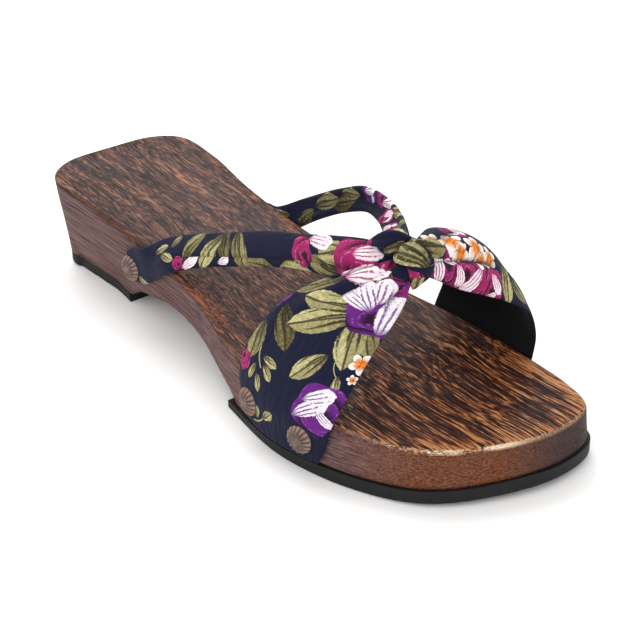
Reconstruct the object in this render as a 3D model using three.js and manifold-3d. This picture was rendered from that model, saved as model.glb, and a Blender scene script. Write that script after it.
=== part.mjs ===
// A woman's right-foot wooden slide in the geta manner.
// One carved footbed with a low block heel stands on two rubber soles. A wide front band
// and two back straps of folded cloth meet in a knot over the foot, and round-headed
// tacks hold their ends to the side of the wood.
//
// Units are millimetres, +Z is up. The toe points along -Y, +X is the medial (big toe) side.
// Tables give a place as x (across), s (along, from the back of the heel) and z (height
// above the floor); place() turns those into the part's frame.

import * as THREE from 'three';
import { mergeVertices } from 'three/addons/utils/BufferGeometryUtils.js';
import Module from 'manifold-3d';

const wasm = await Module();
wasm.setup();

// ---- Driving dimensions ----------------------------------------------------------------

const LENGTH = 245;
const CENTRE_X = 1.1; // middle of the part's width in the tables' x
const CENTRE_S = 123.4; // middle of the part's length in the tables' s
const GAP = 0.3; // clearance where two pieces touch

const CLOTH = 2.4; // folded cloth with its thin filling
const HEEL_SPRING = 2.5; // lift of the heel's back edge
const HEEL_SPRING_S = 14; // where that lift ends
const TOE_SPRING = 2.8; // lift of the toe's front edge
const TOE_SPRING_S = 196; // where that lift starts
const HEEL_BREAST_S = 51.5; // front of the heel rubber
const SOLE_BACK_S = 139; // back of the forefoot rubber
const HEEL_REST_S = 37; // the wood lies on the heel rubber behind this
const SOLE_REST_S = 147; // and on the forefoot rubber in front of this
const SOLE_PROUD = 1.0; // forefoot rubber past the wood
const EDGE_RADIUS = 1.6; // rounded top edge of the wood
const SCOOP = 1.2; // depth of the footbed's dished top
const SCOOP_FADE = 35; // how soon the dish ends before heel and toe

const TACK_HEAD_R = 5.2;
const TACK_HEAD_H = 2.3;
const TACK_RIM = 0.5; // height of the head's straight rim
const TACK_SHANK_R = 0.9;
const TACK_SHANK = 9;

// Top edge of the wood seen from above, from the back of the heel round the medial side.
const OUTLINE = [
  { x: 0, s: 0 }, { x: 20, s: 1.9 }, { x: 30.9, s: 10 }, { x: 32.3, s: 30.5 },
  { x: 28.8, s: 60 }, { x: 28.8, s: 94.6 }, { x: 33.5, s: 129.8 }, { x: 39.5, s: 165.5 },
  { x: 42.1, s: 196.4 }, { x: 41.9, s: 224 }, { x: 36.2, s: 240.5 }, { x: 18.1, s: 245 },
  { x: -5.3, s: 238.8 }, { x: -24.2, s: 226.4 }, { x: -36.9, s: 201.8 }, { x: -43.2, s: 174.5 },
  { x: -39.7, s: 141.4 }, { x: -32.2, s: 105.1 }, { x: -31.2, s: 64.9 }, { x: -32.7, s: 29.6 },
  { x: -31.3, s: 9 }, { x: -20.1, s: 0.9 },
];

// Side view of the wood: height of its top edge, of its underside above the springs, and
// how far the foot of the side wall (side) and of the end wall (end) lies inside the top edge.
const PROFILE = [
  { s: 0, top: 43, under: 4.6, side: 8.3, end: 0 },
  { s: 14, top: 42.1, under: 4.6, side: 8.3, end: 0 },
  { s: 37, top: 40.3, under: 4.6, side: 8.3, end: 0 },
  { s: 52, top: 38.8, under: 4.6, side: 6, end: 0 },
  { s: 65, top: 37.3, under: 11.5, side: 3, end: 0 },
  { s: 92, top: 33.8, under: 16.3, side: 1.2, end: 0 },
  { s: 112, top: 30.6, under: 14.6, side: 0.5, end: 0 },
  { s: 137, top: 26.6, under: 8.6, side: 0, end: 0 },
  { s: 147, top: 25.1, under: 3.5, side: 0, end: -1.2 },
  { s: 184, top: 23.2, under: 4.9, side: -0.4, end: -1.2 },
  { s: 204, top: 21.6, under: 5.4, side: -1.2, end: -1.2 },
  { s: 220, top: 20.9, under: 5.4, side: -1.2, end: -1.2 },
  { s: 245, top: 20.9, under: 5.4, side: -1.2, end: -1.2 },
];

// Front band, one row for each fold line from the wood to the knot. on is "wall" where the
// cloth lies on the side of the wood, with its height given, and "air" where it is free.
// rear and front are the band's two edges, and crown is how far its middle swells outwards.
const LATERAL_BAND = {
  outward: -1,
  rows: [
    { on: 'wall', z: 6.0, rear: 160, front: 193 },
    { on: 'wall', z: 13, rear: 154.5, front: 195.5 },
    { on: 'wall', z: 20, rear: 151, front: 197 },
    { on: 'air', rear: [-41.5, 151.5, 30], front: [-38, 197.5, 23.5], crown: 2 },
    { on: 'air', rear: [-37.5, 155, 40], front: [-30.5, 198, 34], crown: 2.5 },
    { on: 'air', rear: [-31.5, 160, 49.5], front: [-22.5, 198.5, 44], crown: 3 },
    { on: 'air', rear: [-24, 167, 57], front: [-15, 198.5, 51], crown: 3 },
    { on: 'air', rear: [-15, 176, 63], front: [-8.5, 197.5, 57], crown: 2.5 },
    { on: 'air', rear: [-6, 184, 67], front: [-3.5, 195, 61.5], crown: 1.5 },
    { on: 'air', rear: [1.5, 186, 67.5], front: [1.5, 193, 63], crown: 0.8 },
  ],
};

const MEDIAL_BAND = {
  outward: 1,
  rows: [
    { on: 'wall', z: 6.0, rear: 163, front: 203 },
    { on: 'wall', z: 13, rear: 161, front: 205 },
    { on: 'wall', z: 19, rear: 159, front: 206.5 },
    { on: 'air', rear: [44.5, 159.5, 32], front: [46, 206, 28], crown: 3.5 },
    { on: 'air', rear: [42, 162, 43], front: [43, 205, 38], crown: 5 },
    { on: 'air', rear: [37, 167, 54], front: [34, 203, 45], crown: 7.5 },
    { on: 'air', rear: [28.5, 172, 62], front: [25, 201.5, 50], crown: 8 },
    { on: 'air', rear: [19, 177, 67.5], front: [15, 199.5, 55], crown: 6.5 },
    { on: 'air', rear: [9, 183.5, 70], front: [7, 196.5, 60], crown: 2.5 },
    { on: 'air', rear: [1.5, 186, 68], front: [1.5, 193, 63], crown: 0.8 },
  ],
};

// Back straps, one row for each step from the tack to the knot. low and high are the edges;
// on a row "side" they lie on the side of the wood and give only s and z.
const LATERAL_STRAP = {
  outward: 1,
  rows: [
    { on: 'side', low: [65, 18], high: [63.5, 31] },
    { on: 'side', low: [73, 19.5], high: [70, 35] },
    { on: 'side', low: [84, 26.5], high: [76, 37] },
    { on: 'air', low: [-33.6, 94, 33.5], high: [-26.5, 84.5, 42.5], crown: 0.8 },
    { on: 'air', low: [-29, 103, 38], high: [-19.5, 98, 47], crown: 1.4 },
    { on: 'air', low: [-23, 117, 42.5], high: [-15.5, 112, 52], crown: 1.5 },
    { on: 'air', low: [-17, 134, 47.5], high: [-12.5, 128, 58], crown: 1.5 },
    { on: 'air', low: [-14, 152, 52.5], high: [-10, 146, 63], crown: 1.5 },
    { on: 'air', low: [-12, 169, 55.5], high: [-7.5, 161, 67.5], crown: 2.5 },
    { on: 'air', low: [-8.5, 182, 58], high: [-5, 174, 70.5], crown: 3.5 },
    { on: 'air', low: [-1, 190, 62.5], high: [0, 183, 69], crown: 1.5 },
  ],
};

const MEDIAL_STRAP = {
  outward: -1,
  rows: [
    { on: 'side', low: [65, 18], high: [63.5, 31] },
    { on: 'side', low: [73, 19.5], high: [70, 34] },
    { on: 'side', low: [85, 26.5], high: [77, 35] },
    { on: 'air', low: [32.6, 95, 33.8], high: [35.5, 87, 40.5], crown: 0.6 },
    { on: 'air', low: [33, 104, 39.5], high: [35, 99, 47.5], crown: 1 },
    { on: 'air', low: [33.5, 115, 45.5], high: [34, 112, 54.5], crown: 1.2 },
    { on: 'air', low: [32.5, 129, 51.5], high: [33.5, 127, 61], crown: 1.2 },
    { on: 'air', low: [27, 142, 54.5], high: [31, 143, 62.5], crown: 1.6 },
    { on: 'air', low: [20, 153, 57], high: [24, 158, 64.5], crown: 1.8 },
    { on: 'air', low: [11, 166, 61.5], high: [15, 171, 67.5], crown: 1.6 },
    { on: 'air', low: [1, 184, 65], high: [3, 187, 70], crown: 0.8 },
  ],
};

// Gathered cloth inside the knot; then the knot's wrap and the loop tucked behind it.
const NECK = { at: [1.5, 189.5, 66], half: [8, 6, 6] };
const KNOT = [
  { at: [1.5, 190.5, 66.8], half: [6.8, 9.5, 9.8] },
  { at: [-1, 182, 72], half: [7.5, 6.5, 5.5] },
];

// Tacks: which side of the wood, place along it, height, and cloth under the head.
const TACKS = [
  { name: 'tack_front_lateral_front', side: -1, s: 186, z: 13.3 },
  { name: 'tack_front_lateral_rear', side: -1, s: 159.5, z: 15 },
  { name: 'tack_front_medial_front', side: 1, s: 199, z: 12.5 },
  { name: 'tack_front_medial_rear', side: 1, s: 167, z: 13 },
  { name: 'tack_back_lateral', side: -1, s: 66.5, z: 24.5 },
  { name: 'tack_back_medial', side: 1, s: 66.5, z: 24.5 },
];

// ---- Small tools -----------------------------------------------------------------------

const place = (x, s, z) => new THREE.Vector3(x - CENTRE_X, CENTRE_S - s, z);

const clamp01 = (v) => Math.min(Math.max(v, 0), 1);

// Reads a column of a table at s, on a smooth curve that keeps the table's flats flat.
function along(table, column, s) {
  const last = table.length - 1;
  const here = THREE.MathUtils.clamp(s, table[0].s, table[last].s);
  let i = 0;
  while (i < last - 1 && here > table[i + 1].s) {
    i += 1;
  }
  const rise = (k) => (table[k + 1][column] - table[k][column]) / (table[k + 1].s - table[k].s);
  const slope = (k) => {
    if (k === 0 || k === last) {
      return 0;
    }
    const before = rise(k - 1);
    const after = rise(k);
    return before * after <= 0 ? 0 : (2 * before * after) / (before + after);
  };
  const step = table[i + 1].s - table[i].s;
  const t = (here - table[i].s) / step;
  const t2 = t * t;
  const t3 = t2 * t;
  return (2 * t3 - 3 * t2 + 1) * table[i][column] + (t3 - 2 * t2 + t) * step * slope(i)
    + (3 * t2 - 2 * t3) * table[i + 1][column] + (t3 - t2) * step * slope(i + 1);
}

// Closes a ring with a fan of triangles about its middle.
function fanLid(ring, first, corners) {
  const centre = new THREE.Vector3();
  ring.forEach((p) => centre.addScaledVector(p, 1 / ring.length));
  const hub = corners.push(centre) - 1;
  return ring.map((_, i) => [first + i, first + ((i + 1) % ring.length), hub]);
}

// Closes a ring that is alike on its two sides with rungs across it, at the heights given.
const rungLid = (height) => (ring, first, corners) => {
  const half = ring.length / 2;
  const rung = (i) => {
    if (i === 0 || i === half) {
      return [first + i];
    }
    const left = ring[ring.length - i];
    const between = RUNG_SHARES.map((share) => {
      const point = left.clone().lerp(ring[i], (1 + share) / 2);
      point.z = height(CENTRE_S - point.y, share);
      return corners.push(point) - 1;
    });
    return [first + ring.length - i, ...between, first + i];
  };
  const rungs = Array.from({ length: half + 1 }, (_, i) => rung(i));
  const faces = [];
  for (let i = 0; i < half; i += 1) {
    const here = rungs[i];
    const next = rungs[i + 1];
    for (let k = 0; k < here.length - 1; k += 1) {
      faces.push([here[k], here[k + 1], next.length > 1 ? next[k + 1] : next[0]]);
    }
    for (let k = 0; k < next.length - 1; k += 1) {
      faces.push([here.length > 1 ? here[k] : here[0], next[k + 1], next[k]]);
    }
  }
  return faces;
};

// Joins rings of equally many points into one closed skin, with a lid on each end.
function loft(rings, firstLid = fanLid, lastLid = fanLid) {
  const count = rings[0].length;
  const corners = rings.flat();
  const faces = [];
  for (let r = 0; r + 1 < rings.length; r += 1) {
    for (let i = 0; i < count; i += 1) {
      const a = r * count + i;
      const b = r * count + ((i + 1) % count);
      faces.push([a, b, b + count], [a, b + count, a + count]);
    }
  }
  const last = rings.length - 1;
  const bottom = firstLid(rings[0], 0, corners).map(([a, b, c]) => [b, a, c]);
  const top = lastLid(rings[last], last * count, corners);
  return solid(corners, [...faces, ...bottom, ...top]);
}

// A manifold solid from corners and triangles, turned so that its faces point out.
function solid(corners, faces) {
  let volume = 0;
  faces.forEach(([a, b, c]) => {
    volume += corners[a].dot(new THREE.Vector3().crossVectors(corners[b], corners[c]));
  });
  const turned = volume < 0 ? faces.map(([a, b, c]) => [a, c, b]) : faces;
  return new wasm.Manifold(new wasm.Mesh({
    numProp: 3,
    vertProperties: new Float32Array(corners.flatMap((p) => [p.x, p.y, p.z])),
    triVerts: new Uint32Array(turned.flat()),
  }));
}

// The same from a closed three.js geometry.
function solidFrom(geometry) {
  const bare = geometry.clone();
  bare.deleteAttribute('normal');
  bare.deleteAttribute('uv');
  const merged = mergeVertices(bare, 1e-5);
  return new wasm.Manifold(new wasm.Mesh({
    numProp: 3,
    vertProperties: new Float32Array(merged.attributes.position.array),
    triVerts: new Uint32Array(merged.index.array),
  }));
}

function geometryFrom(manifold) {
  const mesh = manifold.getMesh();
  const geometry = new THREE.BufferGeometry();
  geometry.setAttribute('position', new THREE.BufferAttribute(new Float32Array(mesh.vertProperties), 3));
  geometry.setIndex(new THREE.BufferAttribute(new Uint32Array(mesh.triVerts), 1));
  geometry.computeVertexNormals();
  return geometry;
}

// ---- Wood ------------------------------------------------------------------------------

const EDGE_STEPS = 88; // points round the outline
const RUNG_SHARES = [-0.5, 0, 0.5]; // points between the two ends of a rung

const outlineCurve = new THREE.CatmullRomCurve3(
  OUTLINE.map(({ x, s }) => new THREE.Vector3(x, s, 0)), true, 'centripetal',
);

// Points round the top edge with their outward direction in plan.
const EDGE = Array.from({ length: EDGE_STEPS }, (_, i) => {
  const t = i / EDGE_STEPS;
  const point = outlineCurve.getPoint(t);
  const tangent = outlineCurve.getTangent(t);
  return { x: point.x, s: point.y, nx: tangent.y, ns: -tangent.x };
});

const spring = (s) => HEEL_SPRING * clamp01((HEEL_SPRING_S - s) / HEEL_SPRING_S) ** 2
  + TOE_SPRING * clamp01((s - TOE_SPRING_S) / (LENGTH - TOE_SPRING_S)) ** 2;

const topOf = (s) => along(PROFILE, 'top', s);
const underOf = (s) => along(PROFILE, 'under', s) + spring(s);

// How far the wall lies inside the top edge, at a share h of its height from the foot up.
const WALL_CURVE = 1.4;
const leanOf = (edge, h) => {
  const foot = along(PROFILE, 'side', edge.s) * edge.nx ** 2
    + along(PROFILE, 'end', edge.s) * edge.ns ** 2;
  return foot * (1 - h) ** WALL_CURVE;
};

// One ring of the side wall: a share h of the height, moved in by inset.
const wallRing = (h, inset, lift) => EDGE.map((edge) => {
  const shift = leanOf(edge, h) + inset;
  const low = underOf(edge.s);
  const z = low + (topOf(edge.s) - low) * h + lift;
  return place(edge.x - edge.nx * shift, edge.s - edge.ns * shift, z);
});

const WALL_SHARES = [0.25, 0.55, 0.8]; // rings of the side wall between foot and top edge
const BEVEL = 0.3; // where the rounded edge's middle ring lies, as a share of its radius

// The footbed, or the same form made larger all round by grow.
function footbedSolid(grow) {
  const under = (s) => underOf(s) - grow;
  const dish = (s) => SCOOP * clamp01(s / SCOOP_FADE) * clamp01((LENGTH - s) / SCOOP_FADE);
  const dished = (s, share) => topOf(s) - dish(s) * (1 - share * share) + grow;
  return loft([
    wallRing(0, -grow, -grow),
    ...WALL_SHARES.map((share) => wallRing(share, -grow, 0)),
    wallRing(1, -grow, grow - EDGE_RADIUS),
    wallRing(1, BEVEL * EDGE_RADIUS - grow, grow - BEVEL * EDGE_RADIUS),
    wallRing(1, EDGE_RADIUS - grow, grow),
  ], rungLid(under), rungLid(dished));
}

// ---- Rubber ----------------------------------------------------------------------------

// A slab under the wood between two places along it. It is as thick as the room that the
// wood leaves it between restFrom and restTo, and keeps that thickness past them.
function rubberSolid({ from, to, restFrom, restTo, proud }) {
  const topFace = (s) => {
    const rest = THREE.MathUtils.clamp(s, restFrom, restTo);
    return spring(s) + along(PROFILE, 'under', rest) - GAP;
  };
  const ring = (height) => EDGE.map((edge) => {
    const shift = leanOf(edge, 0) - proud;
    return place(edge.x - edge.nx * shift, edge.s - edge.ns * shift, height(edge.s));
  });
  const slab = loft([ring(spring), ring(topFace)], rungLid(spring), rungLid(topFace));
  const keep = new THREE.BoxGeometry(2 * LENGTH, to - from, LENGTH);
  const middle = place(0, (from + to) / 2, 0);
  keep.translate(0, middle.y, 0);
  return slab.intersect(solidFrom(keep));
}

const PAST_ENDS = 10; // how far the cutting box runs past the heel and the toe
const HEEL_RUBBER = {
  from: -PAST_ENDS, to: HEEL_BREAST_S, restFrom: 0, restTo: HEEL_REST_S, proud: 0,
};
const FOREFOOT_RUBBER = {
  from: SOLE_BACK_S, to: LENGTH + PAST_ENDS, restFrom: SOLE_REST_S, restTo: LENGTH, proud: SOLE_PROUD,
};

// ---- Cloth -----------------------------------------------------------------------------

const ACROSS = 6; // points across a strap
const ALONG = 24; // steps along it
const EASE = 0.2; // extra clearance of the cloth from the side of the wood
const HEM = 0.45; // share of the thickness lost at the very hem
const SIDE_X = 15; // outline points further out than this are on a side of the wood

// A place on the side of the wood, moved out by off; side is -1 lateral, 1 medial.
function onWall(side, s, z, off) {
  let best = null;
  EDGE.forEach((edge, i) => {
    const next = EDGE[(i + 1) % EDGE_STEPS];
    const crosses = (edge.s - s) * (next.s - s) <= 0 && edge.x * side > 0 && edge.s !== next.s;
    if (crosses && Math.abs(edge.x) > SIDE_X) {
      const t = (s - edge.s) / (next.s - edge.s);
      best = { x: edge.x + (next.x - edge.x) * t, s, nx: edge.nx, ns: edge.ns };
    }
  });
  const low = underOf(s);
  const h = clamp01((z - low) / (topOf(s) - low));
  const shift = leanOf(best, h) - off;
  return { at: place(best.x - best.nx * shift, s - best.ns * shift, z), out: best };
}

// The middle surface of a strap as a point for each share u along and v across it.
function strapSurface(strap, side) {
  const off = GAP + EASE + CLOTH / 2;
  const rowPoint = (row, v) => {
    if (row.on === 'wall') {
      return onWall(side, row.rear + (row.front - row.rear) * v, row.z, off).at;
    }
    if (row.on === 'side') {
      const [s, z] = row.low.map((low, k) => low + (row.high[k] - low) * v);
      return onWall(side, s, z, off).at;
    }
    const from = place(...(row.rear ?? row.low));
    const to = place(...(row.front ?? row.high));
    return from.lerp(to, v);
  };
  const threads = Array.from({ length: ACROSS }, (_, j) => new THREE.CatmullRomCurve3(
    strap.rows.map((row) => rowPoint(row, j / (ACROSS - 1))), false, 'centripetal',
  ));
  const crown = new THREE.CatmullRomCurve3(
    strap.rows.map((row, i) => new THREE.Vector3(i, row.crown ?? 0, 0)),
  );
  const grid = Array.from({ length: ALONG + 1 }, (_, i) => threads.map((t) => t.getPoint(i / ALONG)));
  const normal = (i, j) => {
    const du = grid[Math.min(i + 1, ALONG)][j].clone().sub(grid[Math.max(i - 1, 0)][j]);
    const dv = grid[i][Math.min(j + 1, ACROSS - 1)].clone().sub(grid[i][Math.max(j - 1, 0)]);
    return du.cross(dv).normalize().multiplyScalar(strap.outward);
  };
  return grid.map((line, i) => line.map((point, j) => {
    const v = j / (ACROSS - 1);
    const out = normal(i, j);
    const swell = 4 * v * (1 - v) * crown.getPoint(i / ALONG).y;
    return { at: point.clone().addScaledVector(out, swell), out };
  }));
}

// A strap of the cloth's thickness, softened at its edges, made larger all round by grow.
function strapSolid(strap, side, grow) {
  const rings = strapSurface(strap, side).map((line) => {
    const half = (j) => {
      const v = (2 * j) / (ACROSS - 1) - 1;
      return (CLOTH / 2) * (1 - HEM * v ** 6) + grow;
    };
    const widened = line.map(({ at }, j) => {
      const end = j === 0 ? 1 : ACROSS - 2;
      const isEdge = j === 0 || j === ACROSS - 1;
      return isEdge ? at.clone().add(at.clone().sub(line[end].at).setLength(grow)) : at;
    });
    const face = (sign) => line.map(({ out }, j) => widened[j].clone().addScaledVector(out, sign * half(j)));
    return [...face(1), ...face(-1).reverse()];
  });
  const lengthen = (ring, inner) => ring.forEach((point, k) => {
    point.add(point.clone().sub(inner[k]).setLength(grow));
  });
  lengthen(rings[0], rings[1].map((point) => point.clone()));
  lengthen(rings[ALONG], rings[ALONG - 1]);
  return loft(rings);
}

const STRAPS = [
  { strap: LATERAL_BAND, side: -1 },
  { strap: MEDIAL_BAND, side: 1 },
  { strap: LATERAL_STRAP, side: -1 },
  { strap: MEDIAL_STRAP, side: 1 },
];

const LUMP_STEPS = { round: 16, down: 9 };

// An egg-shaped lump with its centre and half sizes.
function lump({ at, half }, grow) {
  const ball = new THREE.SphereGeometry(1, LUMP_STEPS.round, LUMP_STEPS.down);
  ball.scale(half[0] + grow, half[1] + grow, half[2] + grow);
  ball.translate(...place(...at));
  return solidFrom(ball);
}

const clothSolid = (grow) => STRAPS
  .map(({ strap, side }) => strapSolid(strap, side, grow))
  .reduce((all, next) => all.add(next), lump(NECK, grow));

// The knot wraps the gathered cloth; only its one main body is kept, not the offcuts between folds.
const knotSolid = () => KNOT
  .map((part) => lump(part, 0))
  .reduce((all, next) => all.add(next))
  .subtract(clothSolid(GAP))
  .decompose()
  .reduce((main, next) => (next.volume() > main.volume() ? next : main));

// ---- Tacks -----------------------------------------------------------------------------

// Section of the domed head, as shares of its radius and its height.
const DOME = [{ r: 0.82, h: 0.72 }, { r: 0.45, h: 0.95 }, { r: 0, h: 1 }];
const TACK_SIDES = 16;

// A domed head and its shank, pointing out along +Y before it is turned, larger by grow.
function tackGeometry(grow) {
  const head = TACK_HEAD_R + grow;
  const shank = TACK_SHANK_R + grow;
  const tip = TACK_SHANK + grow * Math.SQRT2;
  const points = [
    [0, -tip], [shank, shank - tip], [shank, -grow], [head, -grow],
    [head, TACK_RIM], ...DOME.map(({ r, h }) => [r * head, h * TACK_HEAD_H + grow]),
  ];
  return new THREE.LatheGeometry(points.map(([r, y]) => new THREE.Vector2(r, y)), TACK_SIDES);
}

function tackSolid({ side, s, z }, grow) {
  const { at, out } = onWall(side, s, z, GAP + EASE + CLOTH);
  const direction = new THREE.Vector3(out.nx, -out.ns, 0).normalize();
  const turn = new THREE.Quaternion().setFromUnitVectors(new THREE.Vector3(0, 1, 0), direction);
  const geometry = tackGeometry(grow);
  geometry.applyQuaternion(turn);
  geometry.translate(at.x, at.y, at.z);
  return solidFrom(geometry);
}

const withoutTacks = (body) => TACKS.reduce((rest, tack) => rest.subtract(tackSolid(tack, GAP)), body);

// ---- The part --------------------------------------------------------------------------

const WOOD = { color: 0x5b3f36, roughness: 0.45, metalness: 0 };
const BLACK_RUBBER = { color: 0x1c1a1b, roughness: 0.8, metalness: 0 };
const NAVY_PRINT = { color: 0x20264a, roughness: 0.85, metalness: 0 };
const TACK_WOOD = { color: 0x7a5a4a, roughness: 0.6, metalness: 0 };

const geta = new THREE.Group();
geta.name = 'geta_sandal';

function addPiece(name, manifold, finish) {
  const mesh = new THREE.Mesh(geometryFrom(manifold), new THREE.MeshStandardMaterial(finish));
  mesh.name = name;
  geta.add(mesh);
}

addPiece('footbed', withoutTacks(footbedSolid(0)), WOOD);
addPiece('heel_rubber', rubberSolid(HEEL_RUBBER), BLACK_RUBBER);
addPiece('forefoot_rubber', rubberSolid(FOREFOOT_RUBBER), BLACK_RUBBER);
addPiece('upper', withoutTacks(clothSolid(0).subtract(footbedSolid(GAP))), NAVY_PRINT);
addPiece('knot', knotSolid(), NAVY_PRINT);
TACKS.forEach((tack) => addPiece(tack.name, tackSolid(tack, 0), TACK_WOOD));

export default geta;
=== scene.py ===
# %% [markdown]
# # A wooden slide in the geta manner
#
# One right-foot sandal: a carved footbed of burnt wood on two rubber soles, and straps of
# flowered cotton that meet in a knot over the foot. The construction model is loaded as a
# fixed frame, and each of its solids is replaced by a finer mesh of the same shape and size
# with a finish made of nodes. The notebook goes in the order in which a maker works: wood,
# soles, straps, knot, tacks, and last the light and the camera.

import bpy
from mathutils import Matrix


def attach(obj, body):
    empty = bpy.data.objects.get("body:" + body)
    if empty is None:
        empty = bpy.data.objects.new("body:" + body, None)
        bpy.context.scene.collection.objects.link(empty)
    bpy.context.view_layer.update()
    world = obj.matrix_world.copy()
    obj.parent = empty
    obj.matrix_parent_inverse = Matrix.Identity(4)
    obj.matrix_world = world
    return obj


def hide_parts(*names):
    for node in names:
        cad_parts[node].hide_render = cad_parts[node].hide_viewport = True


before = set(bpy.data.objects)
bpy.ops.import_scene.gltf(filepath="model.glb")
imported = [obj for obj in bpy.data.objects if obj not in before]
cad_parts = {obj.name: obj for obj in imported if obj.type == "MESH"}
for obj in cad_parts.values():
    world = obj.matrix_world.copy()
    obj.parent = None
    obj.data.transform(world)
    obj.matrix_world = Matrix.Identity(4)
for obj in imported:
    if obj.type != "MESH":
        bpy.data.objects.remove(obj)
print("construction nodes:", sorted(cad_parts))

# %% Libraries
import math
from collections import namedtuple

import bmesh
import bpy
import numpy as np
from mathutils import Matrix, Vector

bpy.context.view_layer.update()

# %% [markdown]
# ## Sizes
#
# All sizes are in millimetres and are the ones the construction model was built from. A place
# is given as x (across, the big toe side is positive), s (along, from the back of the heel)
# and z (height over the floor). `place` turns it into the frame's metres.

# %% Driving sizes
MM = 0.001
LENGTH = 245
CENTRE_X, CENTRE_S = 1.1, 123.4
GAP = 0.3
CLOTH = 2.4
EASE = 0.2
HEEL_SPRING, HEEL_SPRING_S = 2.5, 14
TOE_SPRING, TOE_SPRING_S = 2.8, 196
HEEL_BREAST_S, SOLE_BACK_S = 51.5, 139
HEEL_REST_S, SOLE_REST_S = 37, 147
SOLE_PROUD = 1.0
SCOOP, SCOOP_FADE = 1.2, 35
WALL_CURVE = 1.4


def place(points):
    """Places x, s, z in millimetres, as points of the frame in metres."""
    x, s, z = np.moveaxis(np.asarray(points, float), -1, 0)
    return np.stack([x - CENTRE_X, CENTRE_S - s, z], axis=-1) * MM


print("back of the heel in the frame, m:", place([0, 0, 0]).round(4))

# %% Outline of the footbed from above, and its side view
OUTLINE = [
    (0, 0), (20, 1.9), (30.9, 10), (32.3, 30.5), (28.8, 60), (28.8, 94.6), (33.5, 129.8),
    (39.5, 165.5), (42.1, 196.4), (41.9, 224), (36.2, 240.5), (18.1, 245), (-5.3, 238.8),
    (-24.2, 226.4), (-36.9, 201.8), (-43.2, 174.5), (-39.7, 141.4), (-32.2, 105.1),
    (-31.2, 64.9), (-32.7, 29.6), (-31.3, 9), (-20.1, 0.9),
]
Station = namedtuple("Station", "s top under side end")
PROFILE = [
    Station(0, 43, 4.6, 8.3, 0), Station(14, 42.1, 4.6, 8.3, 0), Station(37, 40.3, 4.6, 8.3, 0),
    Station(52, 38.8, 4.6, 6, 0), Station(65, 37.3, 11.5, 3, 0), Station(92, 33.8, 16.3, 1.2, 0),
    Station(112, 30.6, 14.6, 0.5, 0), Station(137, 26.6, 8.6, 0, 0),
    Station(147, 25.1, 3.5, 0, -1.2), Station(184, 23.2, 4.9, -0.4, -1.2),
    Station(204, 21.6, 5.4, -1.2, -1.2), Station(220, 20.9, 5.4, -1.2, -1.2),
    Station(245, 20.9, 5.4, -1.2, -1.2),
]
print("stations along the footbed:", len(PROFILE))

# %% [markdown]
# ## Curves
#
# Two kinds of curve draw the whole sandal. A Catmull-Rom curve runs through a row of points,
# so it is right for outlines and for the threads of a strap. The side view needs a curve that
# never overshoots its table, because the footbed has flat stretches, so `along` uses the
# monotone kind.

# %% A curve through points
def cubic(w, start, end, leave, arrive):
    """A smooth piece at shares w from start to end, with the slopes at which it does both."""
    rise = end - start
    return start + w * (leave + w * (3 * rise - 2 * leave - arrive + w * (leave + arrive - 2 * rise)))


def thread(points, shares, closed=False):
    """A centripetal Catmull-Rom curve through points, at shares 0 to 1 of its spans."""
    p = np.asarray(points, float)
    spans = len(p) if closed else len(p) - 1
    at = np.clip(np.asarray(shares, float), 0, 1) * spans
    i = np.minimum(at.astype(int), spans - 1)
    w = (at - i)[:, None]
    if closed:
        p0, p1, p2, p3 = (p[(i + k) % len(p)] for k in (-1, 0, 1, 2))
    else:
        ends = np.vstack([2 * p[0] - p[1], p, 2 * p[-1] - p[-2]])
        p0, p1, p2, p3 = (ends[i + k] for k in range(4))
    d0, d1, d2 = (
        np.maximum(np.linalg.norm(b - a, axis=1, keepdims=True), 1e-6) ** 0.5
        for a, b in ((p0, p1), (p1, p2), (p2, p3))
    )
    m1 = ((p1 - p0) / d0 - (p2 - p0) / (d0 + d1) + (p2 - p1) / d1) * d1
    m2 = ((p2 - p1) / d1 - (p3 - p1) / (d1 + d2) + (p3 - p2) / d2) * d1
    return cubic(w, p1, p2, m1, m2)


print("halfway round the outline:", thread(OUTLINE, [0.5], closed=True).round(1))

# %% The side view at any distance from the heel
def along(column, s):
    """A column of PROFILE at s, on a smooth curve that keeps the table's flats flat."""
    knots = np.array([row.s for row in PROFILE], float)
    values = np.array([getattr(row, column) for row in PROFILE], float)
    step = np.diff(knots)
    rise = np.diff(values) / step
    slope = np.zeros(len(knots))
    turn = rise[:-1] * rise[1:]
    same_way = turn > 0
    slope[1:-1][same_way] = (2 * turn / np.where(same_way, rise[:-1] + rise[1:], 1))[same_way]
    here = np.clip(np.asarray(s, float), knots[0], knots[-1])
    i = np.clip(np.searchsorted(knots, here) - 1, 0, len(step) - 1)
    share = (here - knots[i]) / step[i]
    return cubic(share, values[i], values[i + 1], step[i] * slope[i], step[i] * slope[i + 1])


def smooth(low, high, value):
    """0 below low, 1 above high, and an easy curve between."""
    t = np.clip((np.asarray(value, float) - low) / (high - low), 0, 1)
    return t * t * (3 - 2 * t)


print("top of the wood at the ball, mm:", round(float(along("top", 175)), 1))

# %% Points round the footbed's top edge, with their outward direction
EDGE_POINTS = 640
edge_shares = np.arange(EDGE_POINTS) / EDGE_POINTS
edge = thread(OUTLINE, edge_shares, closed=True)
edge_step = np.roll(edge, -1, axis=0) - np.roll(edge, 1, axis=0)
edge_step /= np.linalg.norm(edge_step, axis=1, keepdims=True)
edge_out = np.stack([edge_step[:, 1], -edge_step[:, 0]], axis=1)
print("ball width, mm:", round(float(np.ptp(edge[:, 0])), 1))

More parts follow.
